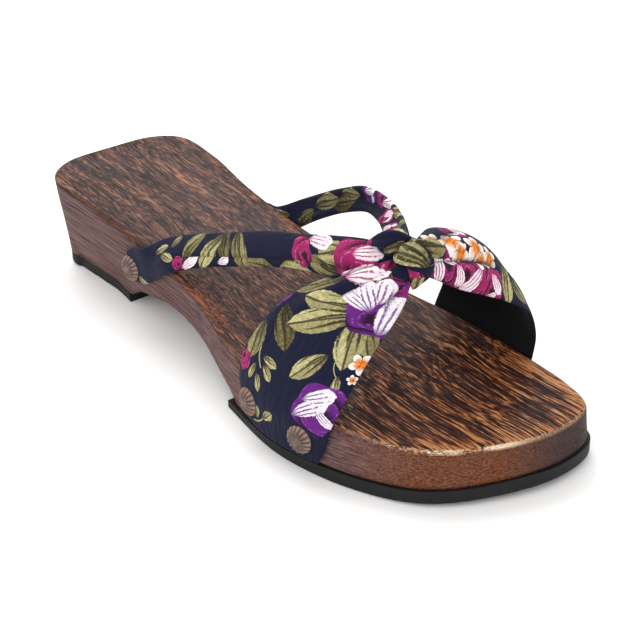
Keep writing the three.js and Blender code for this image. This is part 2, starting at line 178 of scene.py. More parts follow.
# %% Underside and lean of the wall
def spring(s):
    """How far the heel's back and the toe's front lift off the floor."""
    heel = np.clip((HEEL_SPRING_S - s) / HEEL_SPRING_S, 0, 1)
    toe = np.clip((s - TOE_SPRING_S) / (LENGTH - TOE_SPRING_S), 0, 1)
    return HEEL_SPRING * heel**2 + TOE_SPRING * toe**2


def under(s):
    """Height of the wood's underside."""
    return along("under", s) + spring(s)


def lean(at, out, share):
    """How far the wall lies inside the top edge at a share of its height from the foot."""
    foot = along("side", at[:, 1]) * out[:, 0] ** 2 + along("end", at[:, 1]) * out[:, 1] ** 2
    return foot * (1 - share) ** WALL_CURVE


print("underside at the waist, mm:", round(float(under(100)), 1))

# %% [markdown]
# ## Meshes from grids
#
# Every piece here is a grid of points that is closed into a skin: the wood and the soles are
# stacks of outlines with lids, and a strap is a row of cross-sections. Writing the grids
# with numpy and handing them to Blender once is much quicker than growing a mesh face by
# face, and it lets a point carry more than its place, such as where it lies on the cloth.

# %% Helpers that turn points and faces into a Blender piece
def piece_from(name, points, faces, replaced, materials):
    """A smooth mesh piece, from places x, s, z, on the root body, that stands for CAD nodes."""
    mesh = bpy.data.meshes.new(name)
    mesh.from_pydata(place(points).tolist(), [], [list(map(int, face)) for face in faces])
    mesh.validate()
    mesh.polygons.foreach_set("use_smooth", [True] * len(mesh.polygons))
    skin = bmesh.new()
    skin.from_mesh(mesh)
    volume = skin.calc_volume(signed=True)
    skin.free()
    if volume < 0:
        mesh.flip_normals()
    mesh.update()
    piece = bpy.data.objects.new(name, mesh)
    bpy.context.scene.collection.objects.link(piece)
    for material in materials:
        mesh.materials.append(material)
    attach(piece, "root")
    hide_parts(*replaced)
    print(name, "faces:", len(mesh.polygons), "volume, mm3:", round(abs(volume) / MM**3))
    return piece


def note(piece, name, values, domain="POINT"):
    """Keeps one or three numbers for each point or face corner, for the shader to read."""
    values = np.asarray(values, np.float32)
    kind, field = ("FLOAT", "value") if values.ndim == 1 else ("FLOAT_VECTOR", "vector")
    attribute = piece.data.attributes.new(name, kind, domain)
    attribute.data.foreach_set(field, values.ravel())


def row_faces(rows, count, closed):
    """Quads between neighbouring rows of a grid, each row closed on itself or open."""
    last = count if closed else count - 1
    r, c = np.meshgrid(np.arange(rows - 1), np.arange(last), indexing="ij")
    nxt = (c + 1) % count
    quads = np.stack([r * count + c, r * count + nxt, (r + 1) * count + nxt, (r + 1) * count + c], -1)
    return quads.reshape(-1, 4).tolist()


print("faces between three rows of four points:", len(row_faces(3, 4, closed=True)))

# %% [markdown]
# ## The shader language
#
# A finish is a sum of many small ideas: streaks, patches, petals. Written as nodes by hand
# each needs a dozen lines, so one class wraps a socket and turns Python's operators into
# nodes. Numbers become Math nodes. Vectors and colours become Vector Math nodes, because a
# Math node would turn a colour grey. Every other node comes from one method, `node`.

# %% The class that wraps a socket
class Wire:
    """An output socket that can be used in Python expressions."""

    def __init__(self, graph, socket):
        self.graph = graph
        self.socket = socket

    def _pair(self, operation, a, b):
        wires = [w for w in (a, b) if isinstance(w, Wire)]
        if any(w.socket.type in ("VECTOR", "RGBA") for w in wires):
            a, b = (w if isinstance(w, (Wire, tuple)) else (w, w, w) for w in (a, b))
            return self.graph.node("VectorMath", {0: a, 1: b}, operation=operation)
        return self.graph.node("Math", {0: a, 1: b}, operation=operation)

    def __add__(self, other):
        return self._pair("ADD", self, other)

    __radd__ = __add__

    def __sub__(self, other):
        return self._pair("SUBTRACT", self, other)

    def __rsub__(self, other):
        return self._pair("SUBTRACT", other, self)

    def __mul__(self, other):
        return self._pair("MULTIPLY", self, other)

    __rmul__ = __mul__

    def __truediv__(self, other):
        return self._pair("DIVIDE", self, other)

    def __rtruediv__(self, other):
        return self._pair("DIVIDE", other, self)

    def math(self, operation, *others):
        """A Math node of any other kind, with this wire first."""
        return self.graph.node("Math", dict(enumerate((self, *others))), operation=operation)

    def least(self, other):
        return self.math("MINIMUM", other)

    def most(self, other):
        return self.math("MAXIMUM", other)

    def ease(self, low, high):
        """0 at low, 1 at high, and an easy curve between; low may be above high."""
        if low > high:
            return 1 - self.ease(high, low)
        sockets = {"Value": self, "From Min": low, "From Max": high}
        return self.graph.node("MapRange", sockets, interpolation_type="SMOOTHSTEP")


print("a wire can also:", [name for name in vars(Wire) if not name.startswith("_")])

# %% Paint codes
def paint(code, alpha=1.0):
    """A colour written as on a paint card, such as 5b3f36, in Blender's linear numbers."""
    parts = [int(code[i : i + 2], 16) / 255 for i in (0, 2, 4)]
    linear = [p / 12.92 if p <= 0.04045 else ((p + 0.055) / 1.055) ** 2.4 for p in parts]
    return (*linear, alpha)


print("a light grey, linear:", [round(part, 2) for part in paint("cccccc")])

# %% The class that adds nodes to one tree
class Tree:
    """A node tree, with one method that adds any node."""

    def __init__(self, tree):
        self.tree = tree

    def node(self, kind, inputs=None, out=0, **settings):
        """Adds a node: its settings come first, then the values or wires of its sockets."""
        made = self.tree.nodes.new(kind if kind.startswith("Node") else "ShaderNode" + kind)
        for name, value in settings.items():
            if name == "stops":
                self._stops(made.color_ramp, value)
            else:
                setattr(made, name, value)
        for name, value in (inputs or {}).items():
            if isinstance(value, Wire):
                self.tree.links.new(value.socket, made.inputs[name])
            else:
                made.inputs[name].default_value = value
        return Wire(self, made.outputs[out]) if made.outputs else None

    def _stops(self, ramp, stops):
        while len(ramp.elements) < len(stops):
            ramp.elements.new(1)
        for element, (position, colour) in zip(ramp.elements, stops):
            element.position = position
            element.color = colour


print("a tree adds any node by:", Tree.node.__doc__)

# %% Short names for the nodes that are used most
class Graph(Tree):
    """A tree with a short name for each node that the finishes use often."""

    def mix(self, factor, a, b):
        """Colour a where factor is 0 and b where it is 1; either may be a paint code."""
        a, b = (paint(colour) if isinstance(colour, str) else colour for colour in (a, b))
        sockets = {0: factor, 6: a, 7: b}
        return self.node("Mix", sockets, out=2, data_type="RGBA")

    def noise(self, vector, detail=2.0, roughness=0.5, out=0):
        """Noise from 0 to 1 whose lumps are about one unit of the vector across."""
        inputs = {"Vector": vector, "Scale": 1.0, "Detail": detail, "Roughness": roughness}
        return self.node("TexNoise", inputs, out=out)

    def ramp(self, value, stops):
        """A colour from a row of (position, paint code) stops."""
        return self.node("ValToRGB", {0: value}, stops=[(at, paint(code)) for at, code in stops])

    def parts(self, vector):
        """The x, y and z of a vector."""
        made = self.node("SeparateXYZ", {0: vector}).socket.node
        return [Wire(self, output) for output in made.outputs]

    def here(self):
        """The place on the piece, in millimetres of the frame."""
        return self.node("TexCoord", out=3) * (1 / MM)

    def kept(self, name, out=2):
        """A number that the mesh keeps under a name; with out=1, three numbers."""
        return self.node("Attribute", out=out, attribute_name=name)

    def bump(self, height, strength, depth, **below):
        """The direction of a surface whose height from 0 to 1 is depth millimetres."""
        sockets = {"Strength": strength, "Distance": depth * MM, "Height": height}
        return self.node("Bump", {**sockets, **below})


print("a graph can also:", [name for name in vars(Graph) if not name.startswith("_")])

# %% A material from a drawing
def finish(name, draw, **settings):
    """A material: draw adds nodes and returns what feeds the shader's sockets."""
    material = bpy.data.materials.new(name)
    material.use_nodes = True
    tree = material.node_tree
    tree.nodes.clear()
    graph = Graph(tree)
    sockets = draw(graph)
    shader = graph.node("BsdfPrincipled", {**sockets, **settings})
    graph.node("OutputMaterial", {"Surface": shader})
    print(name, "nodes:", len(tree.nodes))
    return material


print("a finish:", finish.__doc__)

# %% [markdown]
# ## Burnt wood
#
# The footbed is a light wood that was scorched and brushed: the soft early wood burns away,
# and the hard late wood stays as ridges, so dark grooves and tan streaks run along the foot.
# A painted streak picture would stretch on the end faces. Noise in space does not: it is
# stretched along the foot, so the sides show long streaks and the toe's front shows only
# their cut ends, as real end grain does. The same noise drives the bump, so that the light
# breaks where the colour does. A thin coat stands for the clear lacquer.

# %% Wood colours
HEEL_WOOD = [(0.18, "1a1011"), (0.36, "31211f"), (0.50, "482c24"), (0.63, "623c2d"), (0.85, "8a5f45")]
TOE_WOOD = [(0.18, "130401"), (0.38, "270a04"), (0.53, "431a09"), (0.68, "6f3614"), (0.90, "b47a49")]
WALL_WOOD = [(0.34, "3a2624"), (0.46, "574040"), (0.56, "695250"), (0.68, "7e6660")]
TOE_WARMS = (-25.0, -80.0)  # y in mm between which the heel's brown turns into the toe's
TOE_END = (-70.0, -105.0)  # y in mm between which the side's grain turns into end grain
UNDERNEATH = -60.0  # what `inward` is on the underside
print("wood colours:", len(HEEL_WOOD) + len(TOE_WOOD) + len(WALL_WOOD))

# %% Grain of the wood: streaks, and the parts of the footbed
Grain = namedtuple("Grain", "x y lines hairs mottle toeward at_toe inward end wall top")


def wood_grain(graph):
    """The noises and masks that the colour and the bumps of the wood are mixed from."""
    here = graph.here()
    x, y, _ = graph.parts(here)
    sway = graph.noise(here * (0.025, 0.014, 0.025), out=1) - (0.5, 0.5, 0.5)
    grain_at = here + sway * (11.0, 0.0, 11.0)
    figure = graph.noise(grain_at * (0.22, 0.011, 0.22))
    lines = graph.noise(grain_at * (1.5, 0.024, 1.5))
    hairs = graph.noise(grain_at * (3.0, 0.10, 3.0), detail=1.0)
    dashes = graph.noise(grain_at * (1.7, 0.26, 1.7), detail=1.0)
    mottle = graph.noise(here * (0.05, 0.03, 0.05), detail=3.0)
    toeward = (y + (mottle - 0.5) * 60.0).ease(*TOE_WARMS)
    at_toe = y.ease(*TOE_END)
    inward = graph.kept("inward")
    broad = (figure - 0.5) * 0.80 + 0.46
    heel_grain = (lines - 0.5) * 1.3 + (hairs - 0.5) * 0.5 + (dashes - 0.5) * 0.9 + broad
    toe_grain = (lines - 0.5) * 2.5 + (hairs - 0.5) * 1.1 + (dashes - 0.5) * 0.9 + broad
    top = heel_grain + (toe_grain - heel_grain) * toeward
    end = graph.noise(here * (0.9, 0.9, 2.6), detail=3.0, roughness=0.75)
    side = graph.noise(here * (0.4, 0.035, 1.5), detail=3.0, roughness=0.6)
    wall = side + (end - side) * at_toe
    wall = wall + (lines * 0.6 + hairs * 0.4 - wall) * inward.ease(UNDERNEATH + 15.0, UNDERNEATH + 5.0)
    return Grain(x, y, lines, hairs, mottle, toeward, at_toe, inward, end, wall, top)


print("parts of the grain:", Grain._fields)

# %% Colour of the top, and of the wall with its end grain
def top_colour(graph, g):
    """Scorched brown at the heel, warmer, stronger streaks towards the toe, and painted sheen."""
    near_edge = g.at_toe * g.inward.ease(9.0, 1.0)
    toe_grain = g.top + (g.y.ease(-60.0, -125.0) * 0.07 + near_edge * 0.20)
    toe = graph.ramp(toe_grain, TOE_WOOD)
    colour = graph.mix(g.toeward * 0.9 + 0.06, graph.ramp(g.top, HEEL_WOOD), toe)
    # Painted sheen: grey patches stand for the lacquer's dull reflection, and are left out at the toe's
    # front.
    painted_sheen = g.mottle.ease(0.50, 0.62) * (1 - g.y.ease(-75.0, -100.0))
    painted_sheen = painted_sheen * (g.top.ease(0.62, 0.40) * 0.4 + 0.1)
    return graph.mix(painted_sheen * 0.8, colour, "342a2c")


def wall_colour(graph, g):
    """Dull brown along the sides, and tan end grain in front that darkens to one side."""
    warm = g.at_toe * g.x.ease(30.0, -10.0) * 0.8 + (g.mottle - 0.45) * 0.7
    tan = graph.mix(g.end.ease(0.32, 0.68), "331507", "874c26")
    colour = graph.mix(warm, graph.ramp(g.wall, WALL_WOOD), tan)
    return graph.mix(g.at_toe * g.x.ease(-10.0, 25.0) * 0.85, colour, "2c1e1d")


print("wood shades:", [shade.__name__ for shade in (top_colour, wall_colour)])

# %% Wear along the top edge, and a painted highlight round the toe
def edge_wear_and_highlight(graph, g, colour):
    """Rust brown at the waist, small cracks below the edge, worn wood, and a painted highlight round the
    toe.
    """
    waist = g.y.ease(-25.0, 5.0) * g.y.ease(105.0, 40.0)
    rust_reach = g.inward.ease(7.0, 1.0) * g.inward.ease(-2.6, -0.4)
    rust = graph.mix(g.top.ease(0.35, 0.65), "220a04", "84421f")
    patches = (g.mottle + g.lines).ease(0.75, 1.05)
    colour = graph.mix(rust_reach * (waist * 0.55 + 0.10) * patches, colour, rust)
    crack = g.inward.ease(-3.2, -1.2) * g.inward.ease(0.6, -0.8) * g.lines.ease(0.60, 0.42)
    colour = graph.mix(crack * (1 - g.at_toe) * 0.8, colour, "2a1612")
    # Along the rounded edge: worn brown wood at the heel and waist, and round the toe a painted
    # golden-white highlight, set where the light glints on the edge.
    wear_and_highlight = g.inward.ease(-1.0, -0.4) * g.inward.ease(0.8, 0.1)
    wear_and_highlight = wear_and_highlight * (g.end * 0.8 + g.mottle * 1.2).ease(0.85, 1.1)
    wear_and_highlight = wear_and_highlight * (1 - g.at_toe * g.x.ease(-6.0, 10.0) * 0.85)
    wear_and_highlight = wear_and_highlight * (1 - g.at_toe * g.x.ease(-30.0, -42.0) * 0.6)
    bare_wood_and_highlight = graph.mix(g.at_toe, "8f5a38", "ecd3b2")
    return graph.mix(wear_and_highlight * (g.at_toe * 0.8 + 0.2), colour, bare_wood_and_highlight)


print("wear:", edge_wear_and_highlight.__doc__)

# %% Wood finish
def draw_wood(graph):
    g = wood_grain(graph)
    on_wall_mask = g.inward.ease(0.3, -0.9)
    colour = graph.mix(on_wall_mask, top_colour(graph, g), wall_colour(graph, g))
    height = g.top + (g.wall - g.top) * on_wall_mask
    return {
        "Base Color": edge_wear_and_highlight(graph, g, colour),
        "Roughness": 0.66 - (g.top - 0.5) * 0.4 - g.at_toe * 0.14 + on_wall_mask * 0.12,
        "Normal": graph.bump(height, 0.6, 0.45),
        "Coat Weight": (0.12 - g.toeward * 0.04) * (1 - on_wall_mask * 0.8),
    }


LACQUER = {"Coat Roughness": 0.22, "Specular IOR Level": 0.17}
burnt_wood = finish("burnt_wood", draw_wood, **LACQUER)

# %% [markdown]
# ## The footbed
#
# The wood is a stack of outlines: the foot of the wall, the wall itself, and a quarter round
# at the top edge. Rungs from one side to the other close the top, which is dished for the
# foot, and the underside, which rises in the arch. Each point keeps `inward`, its distance
# from the worn top edge in millimetres: above 0 on the top, and below 0 down the wall. The
# underside is marked with one number far below 0, so that no wear is drawn there.

# %% Rings of the outline, and the rungs that close one
ACROSS_WOOD = 45


def outline_ring(inset, z):
    """The footbed's outline drawn in by inset, at the height z; both may change along it."""
    inset, z = (np.broadcast_to(value, len(edge)) for value in (inset, z))
    return np.column_stack([edge - edge_out * inset[:, None], z])


def lid(ring, height, start):
    """Rungs across a ring between its two sides: their inner points, and the faces."""
    half = len(ring) // 2
    points, rungs = [], []
    shares = np.linspace(-1, 1, ACROSS_WOOD)[1:-1]
    for i in range(half + 1):
        if i in (0, half):
            rungs.append([i])
            continue
        left, right = ring[-i], ring[i]
        inner = left + (right - left) * ((1 + shares) / 2)[:, None]
        inner[:, 2] = height(inner[:, 1], shares)
        first = start + len(points)
        points.extend(inner)
        rungs.append([len(ring) - i, *range(first, first + len(shares)), i])
    faces = []
    for here, ahead in zip(rungs, rungs[1:]):
        if len(here) == 1:
            faces += [[here[0], b, a] for a, b in zip(ahead, ahead[1:])]
        elif len(ahead) == 1:
            faces += [[a, b, ahead[0]] for a, b in zip(here, here[1:])]
        else:
            faces += [[here[k], here[k + 1], ahead[k + 1], ahead[k]] for k in range(len(here) - 1)]
    return points, faces


print("points across the wood:", ACROSS_WOOD)

# %% A closed stack of rings
def closed_stack(rings, low, high):
    """Points and faces of stacked rings with two lids, and the points inside each lid."""
    count = len(rings[0])
    points = list(np.concatenate(rings))
    faces = row_faces(len(rings), count, closed=True)
    bottom, bottom_faces = lid(rings[0], low, len(points))
    points += bottom
    top, top_faces = lid(rings[-1], high, len(points))
    points += top
    shift = (len(rings) - 1) * count
    top_faces = [[i + shift if i < count else i for i in face] for face in top_faces]
    faces += [face[::-1] for face in bottom_faces] + top_faces
    return np.array(points), faces, bottom, top


print("a stack:", closed_stack.__doc__)

# %% Rings of the footbed's wall and rounded edge
EDGE_RADIUS = 1.6
EDGE_MIDDLE = math.pi / 4  # the rounded edge is counted from the middle of its quarter turn
WALL_RINGS, ROUND_RINGS = 18, 7


def wood_rings():
    """Rings from the foot of the wall to the top face, and each point's distance inward."""
    s = edge[:, 1]
    low, high = under(s), along("top", s)
    rings, inward = [], []
    for share in np.linspace(0, 1, WALL_RINGS) ** 0.8:
        z = low + (high - EDGE_RADIUS - low) * share
        inset = lean(edge, edge_out, (z - low) / (high - low))
        rings.append(outline_ring(inset, z))
        inward.append(z - high + EDGE_RADIUS / 2)
    for turn in np.linspace(0, math.pi / 2, ROUND_RINGS + 1)[1:]:
        inset = EDGE_RADIUS * (1 - math.cos(turn))
        z = high - EDGE_RADIUS * (1 - math.sin(turn))
        rings.append(outline_ring(inset, z))
        inward.append(np.full(len(edge), EDGE_RADIUS * (turn - EDGE_MIDDLE) / 1.2))
    return rings, inward


wood_stack, wood_inward = wood_rings()
print("rings of the footbed:", len(wood_stack))

# %% Footbed mesh
HAND_WAVE = 0.12  # unevenness left by the carver, in mm


def dished(s, share):
    """Height of the top face at a share from -1 to 1 across it."""
    fade = np.clip(s / SCOOP_FADE, 0, 1) * np.clip((LENGTH - s) / SCOOP_FADE, 0, 1)
    return along("top", s) - SCOOP * fade * (1 - share**2)


wood_points, wood_faces, low_lid, top_lid = closed_stack(wood_stack, lambda s, share: under(s), dished)
to_edge = [np.linalg.norm(edge - point[:2], axis=1).min() - EDGE_RADIUS / 2 for point in top_lid]
wood_inward = np.concatenate([*wood_inward, np.full(len(low_lid), UNDERNEATH), to_edge])
x, s, z = wood_points.T
carved = HAND_WAVE * np.sin(s / 9 + x / 13) * np.sin(x / 7)
wood_points[:, 2] += carved * smooth(1.0, 4.0, wood_inward)
footbed = piece_from("footbed_wood", wood_points, wood_faces, ["footbed"], [burnt_wood])
note(footbed, "inward", wood_inward)

# %% [markdown]
# ## Rubber soles
#
# The heel and the ball of the foot each stand on a slab of black rubber that is glued under
# the wood and trimmed along it. A slab is made like the footbed, as a stack of outlines from
# the floor to the glue line, and is then cut square across where the arch begins. The floor
# edge is rounded a little, which is what catches the light on real rubber.

# %% Rubber finish
def draw_rubber(graph):
    """Black with faint smears and dust, pores all over and a fine tread underneath."""
    here = graph.here()
    height_here = graph.parts(here)[2]
    pores = graph.noise(here * 2.4, detail=3.0, roughness=0.65)
    smears = graph.noise(here * (0.05, 0.05, 0.16), detail=3.0)
    dust = graph.noise(here * 0.35, detail=4.0, roughness=0.7).ease(0.56, 0.74)
    tread = graph.node("TexVoronoi", {"Vector": here * (0.42, 0.42, 0.0), "Scale": 1.0})
    colour = graph.mix(dust * 0.3, graph.mix(smears, "060506", "110f10"), "3b3534")
    height = pores * 0.35 + tread * height_here.ease(1.2, 0.2) * 2.5
    return {
        "Base Color": colour,
        "Roughness": 0.50 + smears * 0.24,
        "Normal": graph.bump(height, 0.35, 0.3),
    }


black_rubber = finish("black_rubber", draw_rubber, **{"Specular IOR Level": 0.3})

# %% The two soles as slabs of the whole footprint
Slab = namedtuple("Slab", "name node back front rest_back rest_front proud")
SLABS = [
    Slab("heel_sole", "heel_rubber", 0, HEEL_BREAST_S, 0, HEEL_REST_S, 0),
    Slab("forefoot_sole", "forefoot_rubber", SOLE_BACK_S, LENGTH, SOLE_REST_S, LENGTH, SOLE_PROUD),
]
FLOOR_ROUND = 0.7


def slab_mesh(slab):
    """Points and faces of a slab under the whole footprint, before it is cut."""
    low = spring(edge[:, 1])
    foot = lean(edge, edge_out, 0.0) - slab.proud

    def glue_line(s, share=0):
        return spring(s) + along("under", np.clip(s, slab.rest_back, slab.rest_front)) - GAP

    rings = []
    for turn in np.linspace(0, math.pi / 2, 5):
        inset = foot + FLOOR_ROUND * (1 - math.sin(turn))
        rings.append(outline_ring(inset, low + FLOOR_ROUND * (1 - math.cos(turn))))
    rise = glue_line(edge[:, 1]) - low - FLOOR_ROUND
    for share in (0.3, 0.6, 0.85, 0.97, 1.0):
        rings.append(outline_ring(foot, low + FLOOR_ROUND + rise * share))
    return closed_stack(rings, lambda s, share: spring(s), glue_line)[:2]


print("slabs:", [slab.name for slab in SLABS])

# %% Rubber meshes, cut to length
SHARP = math.radians(50)


def cut_across(piece, s, keep_front):
    """Cuts a slab square across at s, and closes the cut."""
    skin = bmesh.new()
    skin.from_mesh(piece.data)
    bmesh.ops.bisect_plane(
        skin, geom=[*skin.verts, *skin.edges, *skin.faces], dist=1e-7,
        plane_co=place([0, s, 0]), plane_no=(0, 1 if keep_front else -1, 0), clear_outer=True,
    )
    rim = [e for e in skin.edges if e.is_boundary]
    bmesh.ops.edgeloop_fill(skin, edges=rim)
    bmesh.ops.recalc_face_normals(skin, faces=skin.faces)
    skin.to_mesh(piece.data)
    skin.free()
    for polygon in piece.data.polygons:
        polygon.use_smooth = True


for slab in SLABS:
    points, faces = slab_mesh(slab)
    sole = piece_from(slab.name, points, faces, [slab.node], [black_rubber])
    if slab.back > 0:
        cut_across(sole, slab.back, keep_front=True)
    if slab.front < LENGTH:
        cut_across(sole, slab.front, keep_front=False)
    sole.data.set_sharp_from_angle(angle=SHARP)

# %% [markdown]
# ## Places on the side wall
#
# The straps' ends lie flat on the sides of the wood under their tacks, so the straps' tables
# mix two kinds of row. A row on the wall gives the distance from the heel and the height of
# its two ends, and `on_wall` finds the wood there. A row in the air gives its two ends as
# places, because nothing lies under them but the foot.

# %% A point outside the wall
SIDE_X = 15


def on_wall(side, s, z, off):
    """The point at s and z, off outside the wood's wall, and the outward direction there."""
    mine = edge[:, 0] * side > SIDE_X
    order = np.argsort(edge[mine, 1])
    known = np.column_stack([edge, edge_out])[mine][order]
    x, nx, ns = (np.interp(s, known[:, 1], known[:, k]) for k in (0, 2, 3))
    share = np.clip((z - under(s)) / (along("top", s) - under(s)), 0, 1)
    at, out = np.array([[x, s]]), np.array([[nx, ns]])
    shift = float(lean(at, out, share)[0]) - off
    return np.array([x - nx * shift, s - ns * shift, z]), np.array([nx, ns, 0.0])


print("wall under the front tack, mm:", on_wall(-1, 186, 13.3, 0)[0].round(1))

# %% Tables of the straps: rows from the wood up to the knot
# A row has a lower and an upper end: two numbers s, z on the wall, or three numbers x, s, z in
# the air, where it also has a crown, the swell of its middle in mm.
Strap = namedtuple("Strap", "name side outward rows")
STRAPS = [
    Strap("lateral_band", -1, -1, [
        ((160, 6), (193, 6)), ((154.5, 13), (195.5, 13)), ((151, 20), (197, 20)),
        ((-41.5, 151.5, 30), (-38, 197.5, 23.5), 2), ((-37.5, 155, 40), (-30.5, 198, 34), 2.5),
        ((-31.5, 160, 49.5), (-22.5, 198.5, 44), 3), ((-24, 167, 57), (-15, 198.5, 51), 3),
        ((-15, 176, 63), (-8.5, 197.5, 57), 2.5), ((-6, 184, 67), (-3.5, 195, 61.5), 1.5),
        ((1.5, 186, 67.5), (1.5, 193, 63), 0.8),
    ]),
    Strap("medial_band", 1, 1, [
        ((163, 6), (203, 6)), ((161, 13), (205, 13)), ((159, 19), (206.5, 19)),
        ((44.5, 159.5, 32), (46, 206, 28), 3.5), ((42, 162, 43), (43, 205, 38), 5),
        ((37, 167, 54), (34, 203, 45), 7.5), ((28.5, 172, 62), (25, 201.5, 50), 8),
        ((19, 177, 67.5), (15, 199.5, 55), 6.5), ((9, 183.5, 70), (7, 196.5, 60), 2.5),
        ((1.5, 186, 68), (1.5, 193, 63), 0.8),
    ]),
    Strap("lateral_strap", -1, 1, [
        ((65, 18), (63.5, 31)), ((73, 19.5), (70, 35)), ((84, 26.5), (76, 37)),
        ((-33.6, 94, 33.5), (-26.5, 84.5, 42.5), 0.8), ((-29, 103, 38), (-19.5, 98, 47), 1.4),
        ((-23, 117, 42.5), (-15.5, 112, 52), 1.5), ((-17, 134, 47.5), (-12.5, 128, 58), 1.5),
        ((-14, 152, 52.5), (-10, 146, 63), 1.5), ((-12, 169, 55.5), (-7.5, 161, 67.5), 2.5),
        ((-8.5, 182, 58), (-5, 174, 70.5), 3.5), ((-1, 190, 62.5), (0, 183, 69), 1.5),
    ]),
    Strap("medial_strap", 1, -1, [
        ((65, 18), (63.5, 31)), ((73, 19.5), (70, 34)), ((85, 26.5), (77, 35)),
        ((32.6, 95, 33.8), (35.5, 87, 40.5), 0.6), ((33, 104, 39.5), (35, 99, 47.5), 1),
        ((33.5, 115, 45.5), (34, 112, 54.5), 1.2), ((32.5, 129, 51.5), (33.5, 127, 61), 1.2),
        ((27, 142, 54.5), (31, 143, 62.5), 1.6), ((20, 153, 57), (24, 158, 64.5), 1.8),
        ((11, 166, 61.5), (15, 171, 67.5), 1.6), ((1, 184, 65), (3, 187, 70), 0.8),
    ]),
]
print("straps:", [strap.name for strap in STRAPS])

# %% [markdown]
# ## Cloth panels
#
# A strap is a tube of cotton pressed flat, with a thin filling and rounded hems. A simulated
# cloth would hang away from the tied shape, so the middle surface is taken from the table
# and the folds are listed: a ridge or a trough is a line on the cloth, in the cloth's own
# millimetres, with soft sides and soft ends. Each point also keeps where it lies on the
# cloth, and the printed flowers are drawn there.

# %% Middle surface of a strap: its rows, its directions and its cloth places
CLOTH_SPAN = (190, 56)


def crossing(strap, row, v):
    """Points of a row at the shares v across it."""
    low, high = np.array(row[0], float), np.array(row[1], float)
    points = low + (high - low) * v[:, None]
    if len(low) == 3:
        return points
    off = GAP + EASE + CLOTH / 2
    return np.array([on_wall(strap.side, s, z, off)[0] for s, z in points])


def normals(grid, outward):
    """Unit directions square to a grid of points."""
    cross = np.cross(np.gradient(grid, axis=0), np.gradient(grid, axis=1)) * outward
    return cross / np.maximum(np.linalg.norm(cross, axis=2, keepdims=True), 1e-9)


def cloth_places(grid):
    """Millimetres along the middle thread and across each rung, zero in the middle."""
    middle = grid[:, grid.shape[1] // 2]
    a = np.concatenate([[0], np.cumsum(np.linalg.norm(np.diff(middle, axis=0), axis=1))])
    steps = np.linalg.norm(np.diff(grid, axis=1), axis=2)
    b = np.concatenate([np.zeros((len(grid), 1)), np.cumsum(steps, axis=1)], axis=1)
    return np.repeat(a[:, None], grid.shape[1], axis=1), b - b[:, -1:] / 2


print("foot of the first strap, mm:", crossing(STRAPS[0], STRAPS[0].rows[0], np.zeros(1)).round(1))

# %% Folds, and the finished surface of a strap
CREASE_FULL = 0.9  # depth in mm at which a crease is fully in its own shade
CROWD_HEMS = 0.55  # share of the threads that crowd towards the hems
FOLD_KEPT = 0.35  # share of a fold's height that is left at its ends
Fold = namedtuple("Fold", "a b to_a to_b wide high")


def folded(a, b, folds):
    """Height of all folds at the cloth places a and b."""
    height = np.zeros_like(a)
    for fold in folds:
        run = np.array([fold.to_a - fold.a, fold.to_b - fold.b], float)
        length = np.linalg.norm(run)
        t = ((a - fold.a) * run[0] + (b - fold.b) * run[1]) / length**2
        near_t = np.clip(t, 0, 1)
        away = np.hypot(a - fold.a - run[0] * near_t, b - fold.b - run[1] * near_t)
        ends = smooth(-0.05, 0.3, t) * smooth(1.05, 0.7, t)
        height += fold.high * np.exp(-((away / fold.wide) ** 2)) * (FOLD_KEPT + (1 - FOLD_KEPT) * ends)
    return height


def strap_grid(strap, folds, span):
    """Middle surface of a strap, its outward directions, cloth places, and depths for painted crease
    shade.
    """
    even = np.linspace(0, 1, span[1])
    v = CROWD_HEMS * (1 - np.cos(math.pi * even)) / 2 + (1 - CROWD_HEMS) * even
    u = np.linspace(0, 1, span[0])
    rows = np.array([crossing(strap, row, v) for row in strap.rows])
    grid = np.stack([thread(rows[:, j], u) for j in range(span[1])], axis=1)
    crowns = [(i, row[2] if len(row) == 3 else 0) for i, row in enumerate(strap.rows)]
    crowns = thread(crowns, u)[:, 1]
    swell = 4 * v * (1 - v) * crowns[:, None]
    grid = grid + normals(grid, -strap.outward) * swell[..., None]
    a, b = cloth_places(grid)
    height = folded(a, b, folds)
    grid = grid + normals(grid, -strap.outward) * height[..., None]
    return grid, normals(grid, -strap.outward), a, b, v, np.clip(-height / CREASE_FULL, 0, 1)


one_fold = folded(np.zeros(1), np.zeros(1), [Fold(-5, 0, 5, 0, 1, 1)])
print("height in the middle of a fold, mm:", one_fold.round(2))

# %% Sheets of cloth as closed pillows
END_ROUND = 0.02  # share of the strap's length over which its ends are rounded
HEM_SQUARE = 8  # a circle would be 2; more makes the sheet flatter up to its hems


def pillow(grid, out, v, thick):
    """Points and faces of a closed sheet with rounded hems and ends, and which are outer."""
    rows, count = len(grid), len(v)
    hem = np.sqrt(np.clip(1 - np.abs(2 * v - 1) ** HEM_SQUARE, 0, 1))
    u = np.linspace(0, 1, rows)
    from_end = np.clip(np.minimum(u, 1 - u) / END_ROUND, 0, 1)
    end = np.sqrt(np.clip(1 - (1 - from_end) ** 2, 0.05, 1))
    half = (thick / 2) * hem[None, :] * end[:, None]
    outer = grid + out * half[..., None]
    inner = grid - out * half[..., None]
    ring = np.concatenate([outer, inner[:, -2:0:-1]], axis=1)
    around = ring.shape[1]
    faces = row_faces(rows, around, closed=True)
    is_outer = [(face[0] % around) < count - 1 for face in faces]
    for base in (0, (rows - 1) * around):
        cap = []
        for k in range(count - 1):
            back = around - k
            cap.append([base + k, base + k + 1, base + (back - 1) % around, base + back % around])
        cap = [[i for n, i in enumerate(face) if i not in face[:n]] for face in cap]
        faces += cap if base else [face[::-1] for face in cap]
        is_outer += [False] * len(cap)
    return ring.reshape(-1, 3), faces, is_outer


def doubled(values):
    """Values of a grid laid out like the points of its pillow."""
    return np.concatenate([values, values[:, -2:0:-1]], axis=1).reshape(-1)


print("corners a pillow keeps twice, of two rows of five:", len(doubled(np.zeros((2, 5)))))

